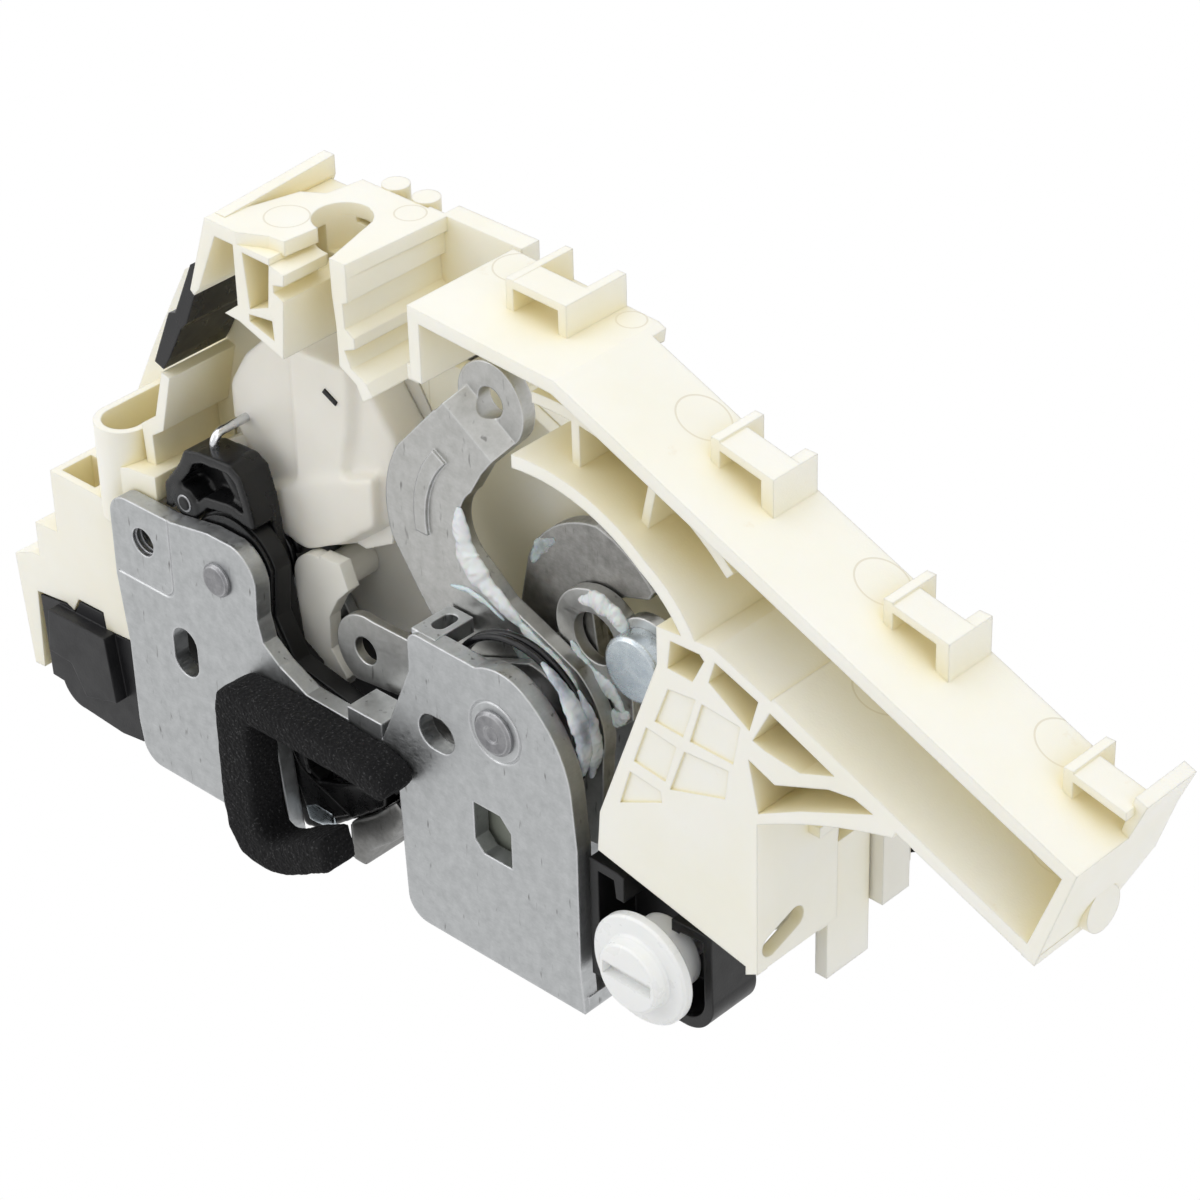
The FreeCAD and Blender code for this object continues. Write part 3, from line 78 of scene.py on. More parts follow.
# Small helpers for building node materials
class Paint:
    def __init__(self, name):
        self.material = bpy.data.materials.new(name)
        self.material.use_nodes = True
        self.tree = self.material.node_tree
        self.shader = self.tree.nodes["Principled BSDF"]
        self.place = self.add("ShaderNodeTexCoord").outputs["Object"]

    def add(self, kind, **settings):
        node = self.tree.nodes.new(kind)
        for key, value in settings.items():
            setattr(node, key, value)
        return node

    def link(self, source, target):
        self.tree.links.new(source, target)

    def noise(self, scale, detail=3.0, rough=0.55, stretch=(1, 1, 1)):
        spread = self.add("ShaderNodeMapping")
        spread.inputs["Scale"].default_value = stretch
        self.link(self.place, spread.inputs["Vector"])
        cloud = self.add("ShaderNodeTexNoise")
        cloud.inputs["Scale"].default_value = scale
        cloud.inputs["Detail"].default_value = detail
        cloud.inputs["Roughness"].default_value = rough
        self.link(spread.outputs["Vector"], cloud.inputs["Vector"])
        return cloud.outputs["Fac"]

    def ramp(self, source, low, high, start=0.0, stop=1.0):
        fit = self.add("ShaderNodeMapRange")
        fit.inputs["From Min"].default_value = low
        fit.inputs["From Max"].default_value = high
        fit.inputs["To Min"].default_value = start
        fit.inputs["To Max"].default_value = stop
        self.link(source, fit.inputs["Value"])
        return fit.outputs["Result"]

    def blend(self, amount, first, second):
        mix = self.add("ShaderNodeMix", data_type="RGBA")
        for key, value in (("Factor", amount), ("A", first), ("B", second)):
            socket = [s for s in mix.inputs if s.name == key and s.enabled][0]
            if isinstance(value, (tuple, float, int)):
                socket.default_value = value
            else:
                self.link(value, socket)
        return [s for s in mix.outputs if s.enabled][0]

    # How sharp the surface is here: 0 on flat stretches, up to 1 on an edge
    def edges(self, radius):
        soft = self.add("ShaderNodeBevel", samples=4)
        soft.inputs["Radius"].default_value = radius
        sharp = self.add("ShaderNodeNewGeometry")
        turn = self.add("ShaderNodeVectorMath", operation="DOT_PRODUCT")
        self.link(soft.outputs["Normal"], turn.inputs[0])
        self.link(sharp.outputs["Normal"], turn.inputs[1])
        return self.ramp(turn.outputs["Value"], 1.0, 0.8)

    # How deep the surface lies between its neighbours: 0 in the open, 1 in a corner
    def hollows(self, reach):
        shut = self.add("ShaderNodeAmbientOcclusion", samples=6)
        shut.inputs["Distance"].default_value = reach
        return self.ramp(shut.outputs["AO"], 0.9, 0.35)

    # Thin circles, as the ejector pins of a mould leave them: centre and radius in mm
    def rings(self, discs):
        total = None
        for x, y, radius in discs:
            flat = self.add("ShaderNodeVectorMath", operation="MULTIPLY_ADD")
            self.link(self.place, flat.inputs[0])
            flat.inputs[1].default_value = (1, 1, 0)
            flat.inputs[2].default_value = (-x * mm, -y * mm, 0)
            reach = self.add("ShaderNodeVectorMath", operation="LENGTH")
            self.link(flat.outputs[0], reach.inputs[0])
            off = self.add("ShaderNodeMath", operation="COMPARE")
            self.link(reach.outputs["Value"], off.inputs[0])
            off.inputs[1].default_value = radius * mm
            off.inputs[2].default_value = 0.14 * mm
            if total is None:
                total = off.outputs[0]
                continue
            both = self.add("ShaderNodeMath", operation="MAXIMUM")
            self.link(total, both.inputs[0])
            self.link(off.outputs[0], both.inputs[1])
            total = both.outputs[0]
        return total

    # Fine relief on top of edges that the eye sees as slightly rounded
    def bump(self, source, depth, strength=0.5, soften=0.0004):
        relief = self.add("ShaderNodeBump")
        soft = self.add("ShaderNodeBevel", samples=6)
        soft.inputs["Radius"].default_value = soften
        self.link(soft.outputs["Normal"], relief.inputs["Normal"])
        relief.inputs["Distance"].default_value = depth
        relief.inputs["Strength"].default_value = strength
        self.link(source, relief.inputs["Height"])
        self.link(relief.outputs["Normal"], self.shader.inputs["Normal"])

    def set(self, **values):
        for key, value in values.items():
            socket = self.shader.inputs[key.replace("_", " ")]
            if isinstance(value, (tuple, float, int)):
                socket.default_value = value
            else:
                self.link(value, socket)


# Moulded plastic: faint clouds, a fine grain, a little light through it, and where given a
# painted shade, darker and warmer, in the recesses
def plastic(name, colour, shade, rough=0.42, through=0.0, grain=0.00004, stain=None,
            discs=None, recessShade=None):
    paint = Paint(name)
    dark = max(colour) < 60
    clouds = paint.ramp(paint.noise(45, 4), 0.35, 0.7)
    colour = paint.blend(clouds, seen(*colour), seen(*shade))
    if stain:
        marks = paint.ramp(paint.noise(160, 5, 0.7), 0.66, 0.8, 0.0, 0.35)
        colour = paint.blend(marks, colour, seen(*stain))
    if discs:
        lines = paint.ramp(paint.rings(discs), 0.0, 1.0, 0.0, 0.45)
        colour = paint.blend(lines, colour, ringShade)
    # Painted shade: the colour turns darker and warmer where ambient occlusion finds a recess
    if recessShade:
        colour = paint.blend(paint.hollows(0.012), colour, seen(*recessShade))
    paint.set(Base_Color=colour, Roughness=paint.ramp(paint.noise(300), 0.3, 0.7,
                                                      rough - 0.06, rough + 0.08))
    if dark:
        paint.set(Specular_IOR_Level=0.32)
    if through:
        paint.set(Subsurface_Weight=through, Subsurface_Radius=(1.0, 0.85, 0.6),
                  Subsurface_Scale=0.003)
    paint.bump(paint.noise(2600, 2), grain)
    return paint.material


# Plated steel: mottled grey, fine drag lines, a painted highlight along the edges, dark nicks
def steel(name, colour, shade, rough=0.4, highlightStrength=0.6, lines=(1, 1, 6), dirt=0.55):
    paint = Paint(name)
    mottle = paint.ramp(paint.noise(420, 5, 0.7), 0.32, 0.68)
    colour = paint.blend(mottle, seen(*colour), seen(*shade))
    nicks = paint.ramp(paint.noise(900, 2, 0.5, (1, 1, 0.25)), 0.66, 0.76, 0.0, dirt)
    colour = paint.blend(nicks, colour, darkNick)
    # Painted highlight: every sharp edge is lightened toward a pale grey
    bright = paint.ramp(paint.edges(0.0006), 0.0, 1.0, 0.0, highlightStrength)
    colour = paint.blend(bright, colour, edgeHighlight)
    drag = paint.ramp(paint.noise(700, 3, 0.6, lines), 0.3, 0.7, rough - 0.08, rough + 0.12)
    paint.set(Base_Color=colour, Metallic=1.0, Roughness=drag)
    paint.bump(paint.noise(1500, 3, 0.6, lines), 0.00003, 0.4)
    return paint.material


# Open cell foam: near black, pale specks, deep pores
def foam(name):
    paint = Paint(name)
    pores = paint.add("ShaderNodeTexVoronoi")
    pores.inputs["Scale"].default_value = 1300
    paint.link(paint.place, pores.inputs["Vector"])
    specks = paint.ramp(paint.noise(2400, 2, 0.6), 0.58, 0.75)
    colour = paint.blend(specks, seen(24, 24, 25), seen(74, 74, 75))
    paint.set(Base_Color=colour, Roughness=0.95, Specular_IOR_Level=0.2)
    paint.bump(pores.outputs["Distance"], 0.0005, 0.7)
    return paint.material


# Grease: milky, wet, thin enough in places to let the metal show
def grease(name, colour, thin=0.6, thick=0.97):
    paint = Paint(name)
    swirl = paint.noise(260, 3, 0.5, (1, 1, 0.6))
    colour = paint.blend(paint.ramp(swirl, 0.35, 0.65), seen(*colour), greaseShade)
    paint.set(Base_Color=colour, Roughness=0.24, Alpha=paint.ramp(swirl, 0.36, 0.56, thin, thick),
              Subsurface_Weight=0.4, Subsurface_Scale=0.0015)
    paint.bump(paint.noise(320, 2, 0.5), 0.0003, 0.2, 0.0003)
    return paint.material


deckDiscs = [(68.8, 18.3, 3.9), (89.6, 19.1, 2.2), (107.6, 14.0, 3.9), (139.2, 14.4, 3.9),
             (169.4, 15.4, 3.9)]
blockDiscs = [(31.2, 8.2, 3.4), (44.2, 20.7, 2.4)]
materials = {
    "plate_steel": steel("plateSteel", (186, 188, 189), (168, 170, 171), 0.42, dirt=0.7),
    "claw_steel": plastic("clawCoat", (24, 24, 25), (17, 17, 18), 0.34),
    # Painted shade: the plate's curled lip gets a darker copy of the plate's steel
    "lip_steel": steel("shadedLipSteel", (136, 136, 134), (112, 112, 110)),
    "lever_steel": steel("leverSteel", (190, 190, 188), (172, 172, 169), 0.36),
    "dark_steel": steel("darkSteel", (158, 157, 154), (128, 127, 124), 0.45),
    "pin_steel": steel("pinSteel", (196, 204, 208), (170, 180, 188), 0.28),
    "rivet_steel": steel("rivetSteel", (150, 150, 152), (120, 120, 123), 0.38),
    "spring_wire": plastic("springWire", (24, 24, 27), (16, 16, 19), 0.13),
    "bright_wire": steel("brightWire", (220, 221, 224), (196, 198, 202), 0.2),
    "motor_steel": steel("motorSteel", (170, 171, 173), (150, 151, 154)),
    "screw_steel": steel("screwSteel", (176, 177, 180), (150, 151, 154)),
    "worm_brass": steel("wormBrass", (196, 170, 110), (170, 144, 88)),
    "contact_metal": steel("contactMetal", (205, 192, 150), (180, 165, 120)),
    "seal_foam": foam("sealFoam"),
    "black_plastic": plastic("blackPlastic", (24, 24, 25), (17, 17, 18), 0.36),
    "claw_cover_plastic": plastic("clawCoverPlastic", (20, 20, 21), (14, 14, 15), 0.26),
    "connector_plastic": plastic("connectorPlastic", (34, 34, 36), (26, 26, 28), 0.42),
    "cover_plastic": plastic("coverPlastic", (32, 32, 34), (24, 24, 26), 0.45),
    "clip_plastic": plastic("clipPlastic", (26, 26, 28), (18, 18, 20), 0.3),
    "switch_plastic": plastic("switchPlastic", (40, 40, 44), (30, 30, 34)),
    "bumper_rubber": plastic("bumperRubber", (28, 28, 29), (20, 20, 21), 0.8),
    "board_laminate": plastic("boardLaminate", (36, 110, 66), (26, 92, 52), 0.35),
    # Ivory and arm plastic carry a painted warm shade in their recesses
    "ivory_plastic": plastic("ivoryPlastic", (250, 248, 238), (247, 243, 228), 0.4, 0.2,
                             stain=(226, 206, 172), discs=blockDiscs,
                             recessShade=(244, 234, 196)),
    "arm_plastic": plastic("armPlastic", (250, 248, 239), (247, 244, 230), 0.38, 0.2,
                           stain=(226, 206, 172), discs=deckDiscs,
                           recessShade=(244, 234, 196)),
    "white_plastic": plastic("whitePlastic", (240, 238, 230), (232, 230, 220), 0.36, 0.15),
    "window_pad": plastic("windowPad", (150, 154, 142), (128, 132, 122), 0.5),
    "lock_plastic": plastic("lockPlastic", (22, 22, 23), (15, 15, 16), 0.3),
    "milky_plastic": plastic("milkyPlastic", (240, 237, 228), (234, 230, 219), 0.34, 0.4),
    "gear_plastic": plastic("gearPlastic", (236, 234, 226), (228, 226, 216), 0.35, 0.2),
    "knob_plastic": plastic("knobPlastic", (246, 247, 246), (240, 241, 240), 0.3, 0.15),
}
print("materials made:", len(materials))

greasy = grease("whiteGrease", (247, 247, 246), 0.85, 1.0)
film = grease("thinGrease", (240, 242, 243), 0.12, 0.5)
bluish = grease("blueGrease", (210, 218, 232), 0.45, 0.92)

slotOf = {row["node"]: row["material_slot"] for row in frame["record"]["subparts"]}
for name, thing in nodes.items():
    thing.data.materials.clear()
    thing.data.materials.append(materials[slotOf[name]])


# A new object from points and faces, riding on one moving body
def makePiece(name, points, faces, material, body, smooth=True):
    data = bpy.data.meshes.new(name)
    data.from_pydata((np.asarray(points) * mm).tolist(), [], faces)
    data.materials.append(material)
    if smooth:
        data.shade_smooth()
    piece = bpy.data.objects.new(name, data)
    bpy.context.scene.collection.objects.link(piece)
    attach(piece, body)
    return piece


# Faces of a closed tube: rows along it, points round it, and a cap at each end
def tubeFaces(rows, around):
    row, step = np.meshgrid(np.arange(rows - 1), np.arange(around), indexing="ij")
    here = row * around + step
    beside = row * around + (step + 1) % around
    quads = np.stack([here, beside, beside + around, here + around], axis=-1).reshape(-1, 4)
    ends = [list(range(around))[::-1], list(range((rows - 1) * around, rows * around))]
    return quads.tolist() + ends


def wobble(t, seed):
    return (0.5 * np.sin(14 * t + seed) + 0.3 * np.sin(33 * t + 2 * seed)
            + 0.2 * np.sin(75 * t + 3 * seed))


# Grease smear: a flat dome dragged along a path. At u round the section the half width is
# w(t) and the height h(t), both zero at the ends, and both wander with wobble.
def smear(name, body, path, widths, height, normal, material, seed):
    rows, around = 90, 24
    path = np.array(path, float)
    knots = np.linspace(0, 1, len(path))
    t = np.linspace(0, 1, rows)
    centre = np.stack([np.interp(t, knots, path[:, i]) for i in range(3)], axis=1)
    kernel = np.ones(9) / 9
    for i in range(3):
        centre[4:-4, i] = np.convolve(centre[:, i], kernel, "valid")
    if normal == "outward":
        up = centre - np.array([pawlPin[0], 0, pawlPin[1]])
        up[:, 1] = 0
        up /= np.linalg.norm(up, axis=1)[:, None]
    else:
        up = np.tile(np.array(normal, float), (rows, 1))
    along = np.gradient(centre, axis=0)
    side = np.cross(along, up)
    side /= np.linalg.norm(side, axis=1)[:, None]
    fade = np.clip(np.sin(np.pi * (0.01 + 0.98 * t)), 0, 1) ** 0.32
    wide = np.interp(t, knots, widths) * fade * (1 + 0.22 * wobble(t, seed))
    tall = height * fade * (1 + 0.25 * wobble(t * 1.3, seed + 4))
    angle = np.linspace(0, 2 * np.pi, around, endpoint=False)
    across = np.cos(angle)[None, :] * wide[:, None]
    drag = 1 + 0.1 * np.sin(5 * np.cos(angle)[None, :] + 5 * wobble(t, seed + 9)[:, None])
    lift = np.where(np.sin(angle) > 0, np.sin(angle), 0.12 * np.sin(angle))
    lift = lift[None, :] * tall[:, None] * drag
    points = (centre[:, None, :] + side[:, None, :] * across[:, :, None]
              + up[:, None, :] * lift[:, :, None])
    return makePiece(name, points.reshape(-1, 3), tubeFaces(rows, around), material, body)


# Straight walls between two depths round one outline
def prism(outline, front, back, first=0):
    count = len(outline)
    points = [(x, front, z) for x, z in outline] + [(x, back, z) for x, z in outline]
    faces = [list(range(count)), list(range(2 * count - 1, count - 1, -1))]
    faces += [[i, i + count, (i + 1) % count + count, (i + 1) % count] for i in range(count)]
    return points, [[first + i for i in face] for face in faces]


# Blocks melted into one closed skin, its edges worn round by smoothing
def makeSoft(name, blocks, voxel, rounds, material, body):
    points, faces = [], []
    for outline, front, back in blocks:
        corners, walls = prism(outline, front, back, len(points))
        points += corners
        faces += walls
    piece = makePiece(name, points, faces, material, body)
    grid = piece.modifiers.new("grid", "REMESH")
    grid.mode = "VOXEL"
    grid.voxel_size = voxel * mm
    grid.use_smooth_shade = True
    soft = piece.modifiers.new("soft", "SMOOTH")
    soft.factor = 0.8
    soft.iterations = rounds
    return piece


# Foam seal: a cut strip with soft corners and an uneven skin. Lengths in mm, x to the right and
# z up, with front and back as depths
foamSize = {"front": -7.0, "back": -0.1, "voxel": 0.6, "rounds": 6, "grain": 2.4, "swell": 0.3}
foamOutline = [
    (21.8, -19), (22.4, -15.0), (25.2, -12.8), (40, -12.2), (56.4, -13.0), (59.6, -14.2),
    (60.8, -16.6), (59.2, -18.8), (53.0, -18.0), (29.6, -18.0), (29.6, -35.6), (30.4, -39.2),
    (32.6, -39.8), (35.8, -38.2), (39.8, -35.4), (45.0, -32.8), (46.4, -38.8), (42.2, -41.2),
    (37.0, -44.2), (32.6, -45.8), (28.4, -46.1), (25.0, -44.8), (22.8, -41.6), (21.9, -36.4)]


def makeFoam():
    strip = (foamOutline, foamSize["front"], foamSize["back"])
    foamSeal = makeSoft("foamSeal", [strip], foamSize["voxel"], foamSize["rounds"],
                        materials["seal_foam"], "housing")
    cloud = bpy.data.textures.new("foamSkin", "CLOUDS")
    cloud.noise_scale = foamSize["grain"] * mm
    uneven = foamSeal.modifiers.new("uneven", "DISPLACE")
    uneven.texture = cloud
    uneven.strength = foamSize["swell"] * mm
    uneven.mid_level = 0.6
    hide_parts("mouth_seal")


# Inside the mouth: the claw's rubber jaw with its bare steel tip, and the plate's curled lip.
# The pad shows through the plate's window. Each has its front and back depth.
mouthDepths = {"jaw": (3.6, 8.4), "tip": (3.3, 5.0), "lip": (3.1, 12.2), "pad": (3.8, 5.2)}
windowOutline = [(67.8, -31.6), (67.8, -14.0), (81.6, -14.0), (81.6, -31.6)]
jawOutline = [
    (23.6, -21), (29.4, -22.4), (30.4, -28), (31.8, -33.2), (37.7, -31.2), (44.8, -27.8),
    (49.0, -27.2), (49.4, -30), (46.5, -32.6), (41.0, -36.8), (37.0, -39.8), (33.6, -42.8),
    (29.6, -43.4), (26.5, -38), (24.2, -30)]
tipOutline = [(30.2, -38.8), (33.0, -37.2), (36.8, -37.4), (37.2, -39.6), (34.2, -41.2),
              (31.0, -41.4)]
lipOutline = [
    (41.0, -44.2), (44.0, -44.2), (45.6, -40.2), (50.4, -36.4), (54.4, -29.4), (52.1, -27.4),
    (46.9, -32.6), (41.0, -36.8)]


def makeMouth():
    for name, outline, depths, voxel, rounds, slot, body in (
            ("windowPad", windowOutline, "pad", 0.5, 3, "window_pad", "housing"),
            ("clawJaw", jawOutline, "jaw", 0.45, 6, "claw_cover_plastic", "claw_body"),
            ("clawTip", tipOutline, "tip", 0.25, 4, "pin_steel", "claw_body"),
            ("mouthLip", lipOutline, "lip", 0.4, 8, "lip_steel", "housing")):
        makeSoft(name, [(outline, *mouthDepths[depths])], voxel, rounds, materials[slot], body)


# Milky cover: a body, a rounded column, a ledge on the left and the cone of the shaft below
coverBlocks = [
    ([(9.0, 20.4), (9.0, 27.4), (12.8, 33.6), (19.6, 40.0), (38.2, 41.0), (46.4, 30.4),
      (44.6, 15.6), (35.6, 8.2), (27.0, 4.4), (20.0, 5.0), (15.0, 12.0)], 13.0, 20.5),
    ([(24.6, 15.0), (25.0, 40.6), (38.4, 41.0), (37.6, 31.0), (35.0, 19.6), (30.0, 15.0)],
     11.4, 20.0),
    ([(18.2, 5.6), (26.6, 4.4), (34.8, 9.0), (42.6, 15.2), (43.0, 24.4), (36.0, 21.4),
      (29.6, 18.6), (23.6, 15.4), (17.6, 12.0)], 10.8, 20.0)]
slotOutline = [(32.6, 35.4), (33.2, 36.2), (35.9, 34.8), (35.4, 34.0)]


def makeCover():
    makeSoft("coverSkin", coverBlocks, 0.6, 10, materials["milky_plastic"], "housing")
    makeSoft("coverSlot", [(slotOutline, 11.1, 12.4)], 0.2, 1, materials["black_plastic"],
             "housing")


# Lock lever: a black web with a rim, a curved inner rib and a cross rib, drawn from its pin.
# The depths are front and back.
lockPin = (7.4, 8.9)
lockDepths = {"web": (7.6, 9.6), "rim": (3.4, 8.0), "cross": (5.0, 8.0), "boss": (3.2, 8.0),
              "dot": (2.9, 4.0)}
lockRadii = {"boss": 2.9, "dot": 1.2}
lockWeb = [
    (-5.0, -2.5), (-4.6, 2.0), (-0.8, 7.0), (0.6, 9.8), (4.0, 10.8), (11.0, 11.4), (13.6, 10.0),
    (15.2, 5.0), (16.0, -1.0), (17.4, -8.3), (18.5, -15.7), (19.0, -20.4), (23.4, -22.8),
    (22.6, -25.0), (18.4, -24.6), (15.0, -19.6), (13.6, -12.6), (12.6, -4.6), (7.2, -1.2),
    (1.6, -4.9)]
lockRim = [
    (-5.0, -2.5), (-4.6, 2.0), (-0.8, 7.0), (0.6, 9.8), (4.0, 10.8), (11.0, 11.4), (13.6, 10.0),
    (15.2, 5.0), (16.0, 1.4), (14.2, 1.4), (13.3, 5.0), (12.2, 8.4), (10.6, 9.6), (4.6, 9.0),
    (2.4, 8.0), (1.2, 5.8), (-2.6, 1.4), (-3.2, -2.4)]
lockRib = [(1.1, -3.5), (5.0, 1.0), (10.4, 2.0), (15.2, 1.2), (15.4, 3.0), (10.4, 3.9),
           (4.6, 2.9), (0.6, -0.8)]
lockCross = [(6.2, 9.2), (8.4, 9.8), (12.8, 3.4), (11.0, 2.4)]


def fromLockPin(outline):
    return [(x + lockPin[0], z + lockPin[1]) for x, z in outline]


def lockDisc(radius):
    turns = [math.radians(a) for a in range(0, 360, 20)]
    return fromLockPin([(radius * math.cos(a), radius * math.sin(a)) for a in turns])


def makeLock():
    lockLever = makeSoft("lockLever", [
        (fromLockPin(lockWeb), *lockDepths["web"]),
        (fromLockPin(lockRim), *lockDepths["rim"]),
        (fromLockPin(lockRib), *lockDepths["rim"]),
        (fromLockPin(lockCross), *lockDepths["cross"]),
        (lockDisc(lockRadii["boss"]), *lockDepths["boss"])], 0.35, 2,
        materials["lock_plastic"], "lock_body")
    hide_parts("lock_lever")
    makeSoft("lockDot", [(lockDisc(lockRadii["dot"]), *lockDepths["dot"])], 0.2, 2,
             materials["black_plastic"], "lock_body")


# Link wire: a round wire that rises from the lever, bends by a quarter sine and runs back
wireSize = {"radius": 0.75, "x": 12.6, "front": 6.0, "low": 17.5, "rise": 3.0, "crown": 1.8,
            "run": 6.5}


def makeWire():
    rows, around = 60, 14
    t = np.linspace(0, 1, rows)
    bend = np.clip((t - 0.18) / 0.42, 0, 1)
    height = (wireSize["low"] + wireSize["rise"] * np.clip(t / 0.18, 0, 1)
              + wireSize["crown"] * np.sin(bend * np.pi / 2))
    depth = (wireSize["front"] + wireSize["crown"] * (1 - np.cos(bend * np.pi / 2))
             + wireSize["run"] * np.clip((t - 0.6) / 0.4, 0, 1))
    centre = np.stack([np.full(rows, wireSize["x"]), depth, height], axis=1)
    along = np.gradient(centre, axis=0)
    along /= np.linalg.norm(along, axis=1)[:, None]
    side = np.tile(np.array([1.0, 0, 0]), (rows, 1))
    up = np.cross(side, along)
    angle = np.linspace(0, 2 * np.pi, around, endpoint=False)[None, :, None]
    points = (centre[:, None, :] + wireSize["radius"] * np.cos(angle) * side[:, None, :]
              + wireSize["radius"] * np.sin(angle) * up[:, None, :])
    linkWire = makePiece("linkWire", points.reshape(-1, 3), tubeFaces(rows, around),
                         materials["bright_wire"], "lock_body")
    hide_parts("link_wire")


# Thread in the fixing hole: a ridge that climbs 1 mm in each turn
threadSize = {"radius": 2.52, "ridge": 0.32, "pitch": 1.0, "start": 0.3, "turns": 2.4}


def makeThread():
    rows, around = 260, 3
    turn = np.linspace(0, 2 * np.pi * threadSize["turns"], rows)
    depth = threadSize["start"] + threadSize["pitch"] * turn / (2 * np.pi)
    inner = threadSize["radius"] - threadSize["ridge"]
    half = 0.36 * threadSize["pitch"]
    rims = [(threadSize["radius"], -half), (inner, 0.0), (threadSize["radius"], half)]
    points = np.stack([np.stack([radius * np.cos(turn), depth + shift, radius * np.sin(turn)],
                                axis=1) for radius, shift in rims], axis=1)
    return makePiece("threadTurns", points.reshape(-1, 3), tubeFaces(rows, around),
                     materials["rivet_steel"], "housing")


# Where the grease lies, read from the photograph: x, depth and height in mm
pawlPin = (78.2, 0.0)
releaseFace = 9.38
eyeletFace = 12.18
hookFace = 14.58


def onFace(depth, *spots):
    return [(x, depth, z) for x, z in spots]


def roundPin(radius, depth, degrees):
    return [(pawlPin[0] + radius * math.cos(math.radians(a)), depth,
             pawlPin[1] + radius * math.sin(math.radians(a))) for a in degrees]


def makeGrease():
    front = (0, -1, 0)
    smear("greaseReleaseEdge", "release_body", onFace(
        releaseFace, (63.2, 28.5), (63.5, 24.5), (64.6, 20.4), (67.6, 17.4), (71.6, 15.2),
        (75.4, 12.9)), (1.3, 2.2, 2.4, 2.2, 1.9, 1.3), 1.1, front, greasy, 1.0)
    smear("greaseReleaseHub", "release_body", onFace(
        releaseFace, (74.6, 13.4), (78.8, 10.8), (82.8, 8.2), (86.0, 4.8), (88.0, 0.4),
        (88.6, -4.6)), (1.2, 1.6, 1.9, 2.0, 1.8, 1.2), 0.9, front, greasy, 2.3)
    smear("greaseReleaseFilm", "release_body", onFace(
        releaseFace, (72.0, 10.6), (76.4, 8.2), (80.6, 4.6), (84.6, 0.4), (86.6, -4.6)),
        (1.4, 3.0, 3.2, 3.0, 1.6), 0.35, front, film, 5.6)
    smear("greaseReleaseStreak", "release_body", onFace(
        releaseFace, (60.5, 13.6), (64.0, 14.4), (68.0, 13.8), (71.6, 12.2)),
        (0.4, 0.6, 0.5, 0.4), 0.3, front, greasy, 0.4)
    smear("greaseEyeletArc", "eyelet_body", onFace(
        eyeletFace, (84.6, 20.2), (88.2, 21.6), (92.0, 20.6), (94.6, 17.8)),
        (1.1, 1.8, 1.8, 1.2), 0.9, front, greasy, 3.1)
    smear("greaseEyeletBelow", "eyelet_body", onFace(
        eyeletFace, (82.6, 12.2), (84.6, 9.6), (87.6, 7.6), (90.8, 6.4), (93.0, 4.0)),
        (0.9, 1.2, 1.5, 1.6, 1.0), 0.7, front, greasy, 5.2)
    smear("greaseEyeletTail", "eyelet_body", onFace(
        eyeletFace, (86.6, 2.6), (89.4, 1.8), (92.0, 2.4), (94.0, 4.4)),
        (0.8, 1.3, 1.4, 0.8), 0.7, front, greasy, 0.9)
    smear("greaseHookFilm", "hook_body", onFace(
        hookFace, (72.6, 20.4), (74.4, 24.0), (77.6, 26.4)), (0.7, 1.2, 0.8), 0.2, front,
        film, 6.0)
    smear("greaseCoilOuter", "housing", roundPin(13.9, 4.6, (66, 44, 22, 4, -16)),
          (0.8, 1.4, 1.7, 1.8, 1.0), 0.9, "outward", bluish, 1.7)
    smear("greaseCoilRear", "housing", roundPin(13.9, 6.8, (40, 24, 8, -8, -24)),
          (0.6, 1.0, 1.4, 1.5, 0.8), 0.9, "outward", bluish, 4.4)


makeFoam()
makeMouth()
makeCover()
makeLock()
makeWire()
makeThread()
makeGrease()
print("pieces made")


# Camera at the photograph's place: it looks down and along the plate from the right
cameraView = {"azimuth": 44, "elevation": 33.8, "roll": -1.6, "lens": 117,
              "place": (413.4, -324.1, 334.9)}


def makeCamera():
    azimuth = math.radians(cameraView["azimuth"])
    elevation = math.radians(cameraView["elevation"])
    roll = math.radians(cameraView["roll"])
    back = Vector((math.sin(azimuth) * math.cos(elevation),
                   -math.cos(azimuth) * math.cos(elevation), math.sin(elevation)))
    level = Vector((math.cos(azimuth), math.sin(azimuth), 0))
    upright = back.cross(level)
    right = math.cos(roll) * level + math.sin(roll) * upright
    up = -math.sin(roll) * level + math.cos(roll) * upright
    data = bpy.data.cameras.new("camera")
    data.sensor_width = 36
    data.lens = cameraView["lens"]
    data.clip_start = 0.01
    camera = bpy.data.objects.new("camera", data)
    turn = Matrix((right, up, back)).transposed().to_4x4()
    camera.matrix_world = Matrix.Translation(Vector(cameraView["place"]) * mm) @ turn
    bpy.context.scene.collection.objects.link(camera)
    bpy.context.scene.camera = camera


# Soft studio light: a wide lamp overhead, one from the left, one from the right
def makeLight():
    for name, place, width, power in (
            ("overhead", (0.02, -0.10, 0.90), 0.9, 3.6),
            ("left", (-0.55, -0.60, 0.35), 0.7, 2.2),
            ("right", (0.90, -0.10, 0.35), 0.7, 1.5)):
        data = bpy.data.lights.new(name, "AREA")
        data.shape = "SQUARE"
        data.size = width
        data.energy = power
        lamp = bpy.data.objects.new(name, data)
        spot = Vector(place)
        aim = (Vector((0.07, 0.02, 0.01)) - spot).to_track_quat("-Z", "Y")
        lamp.matrix_world = Matrix.Translation(spot) @ aim.to_matrix().to_4x4()
        bpy.context.scene.collection.objects.link(lamp)


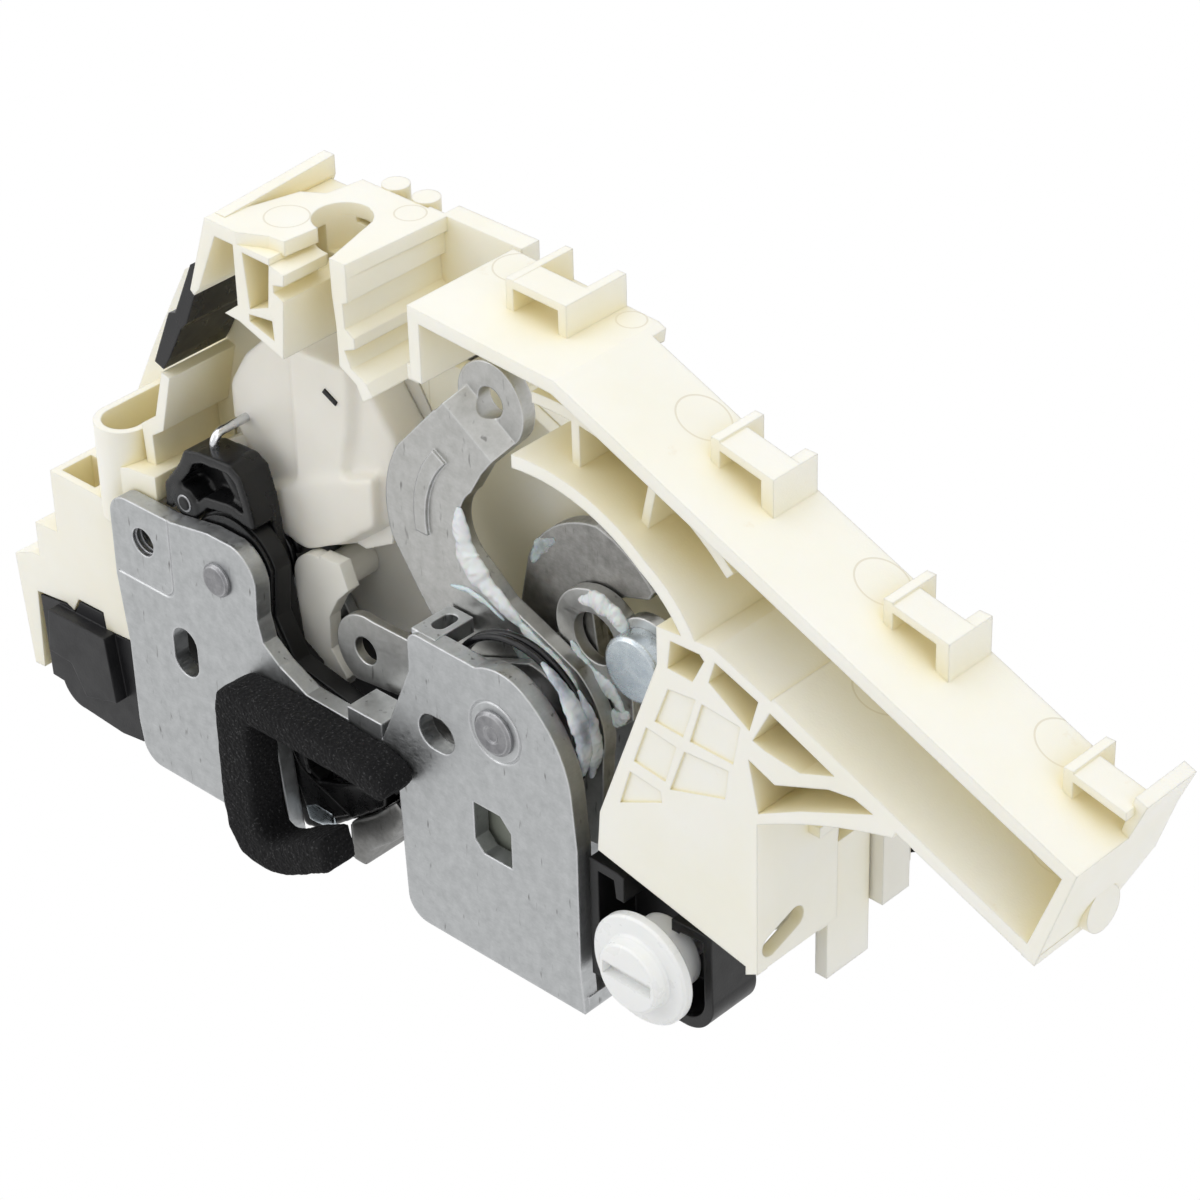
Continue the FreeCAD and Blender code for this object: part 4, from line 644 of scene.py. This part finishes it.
# White to the eye and in reflections, a dimmer grey as a source of light
def whiteForEye(tree, plain, white):
    path = tree.nodes.new("ShaderNodeLightPath")
    mix = tree.nodes.new("ShaderNodeMixShader")
    strongest = path.outputs["Is Camera Ray"]
    for name in ("Is Glossy Ray", "Is Transmission Ray"):
        most = tree.nodes.new("ShaderNodeMath")
        most.operation = "MAXIMUM"
        tree.links.new(strongest, most.inputs[0])
        tree.links.new(path.outputs[name], most.inputs[1])
        strongest = most.outputs[0]
    tree.links.new(strongest, mix.inputs[0])
    tree.links.new(plain, mix.inputs[1])
    tree.links.new(white, mix.inputs[2])
    return mix.outputs[0]


def makeWorld():
    world = bpy.data.worlds.new("studio")
    world.use_nodes = True
    tree = world.node_tree
    plain = tree.nodes["Background"]
    plain.inputs["Color"].default_value = (1, 1, 1, 1)
    plain.inputs["Strength"].default_value = 0.55
    white = tree.nodes.new("ShaderNodeBackground")
    white.inputs["Color"].default_value = (1, 1, 1, 1)
    white.inputs["Strength"].default_value = 1.0
    surface = whiteForEye(tree, plain.outputs[0], white.outputs[0])
    tree.links.new(surface, tree.nodes["World Output"].inputs["Surface"])
    bpy.context.scene.world = world


floorGap = 0.2


def makeFloor():
    low = cadBounds[0][2] - floorGap * mm
    data = bpy.data.meshes.new("floor")
    data.from_pydata([(-3, -3, low), (3, -3, low), (3, 3, low), (-3, 3, low)], [],
                     [(0, 1, 2, 3)])
    floor = bpy.data.objects.new("floor", data)
    bpy.context.scene.collection.objects.link(floor)
    material = bpy.data.materials.new("paleFloor")
    material.use_nodes = True
    tree = material.node_tree
    tree.nodes["Principled BSDF"].inputs["Base Color"].default_value = (0.8, 0.8, 0.8, 1)
    tree.nodes["Principled BSDF"].inputs["Roughness"].default_value = 0.9
    white = tree.nodes.new("ShaderNodeEmission")
    white.inputs["Strength"].default_value = 1.0
    surface = whiteForEye(tree, tree.nodes["Principled BSDF"].outputs[0], white.outputs[0])
    tree.links.new(surface, tree.nodes["Material Output"].inputs["Surface"])
    data.materials.append(material)


makeCamera()
makeLight()
makeWorld()
makeFloor()
bpy.context.scene.view_settings.view_transform = "Standard"
print("studio made")
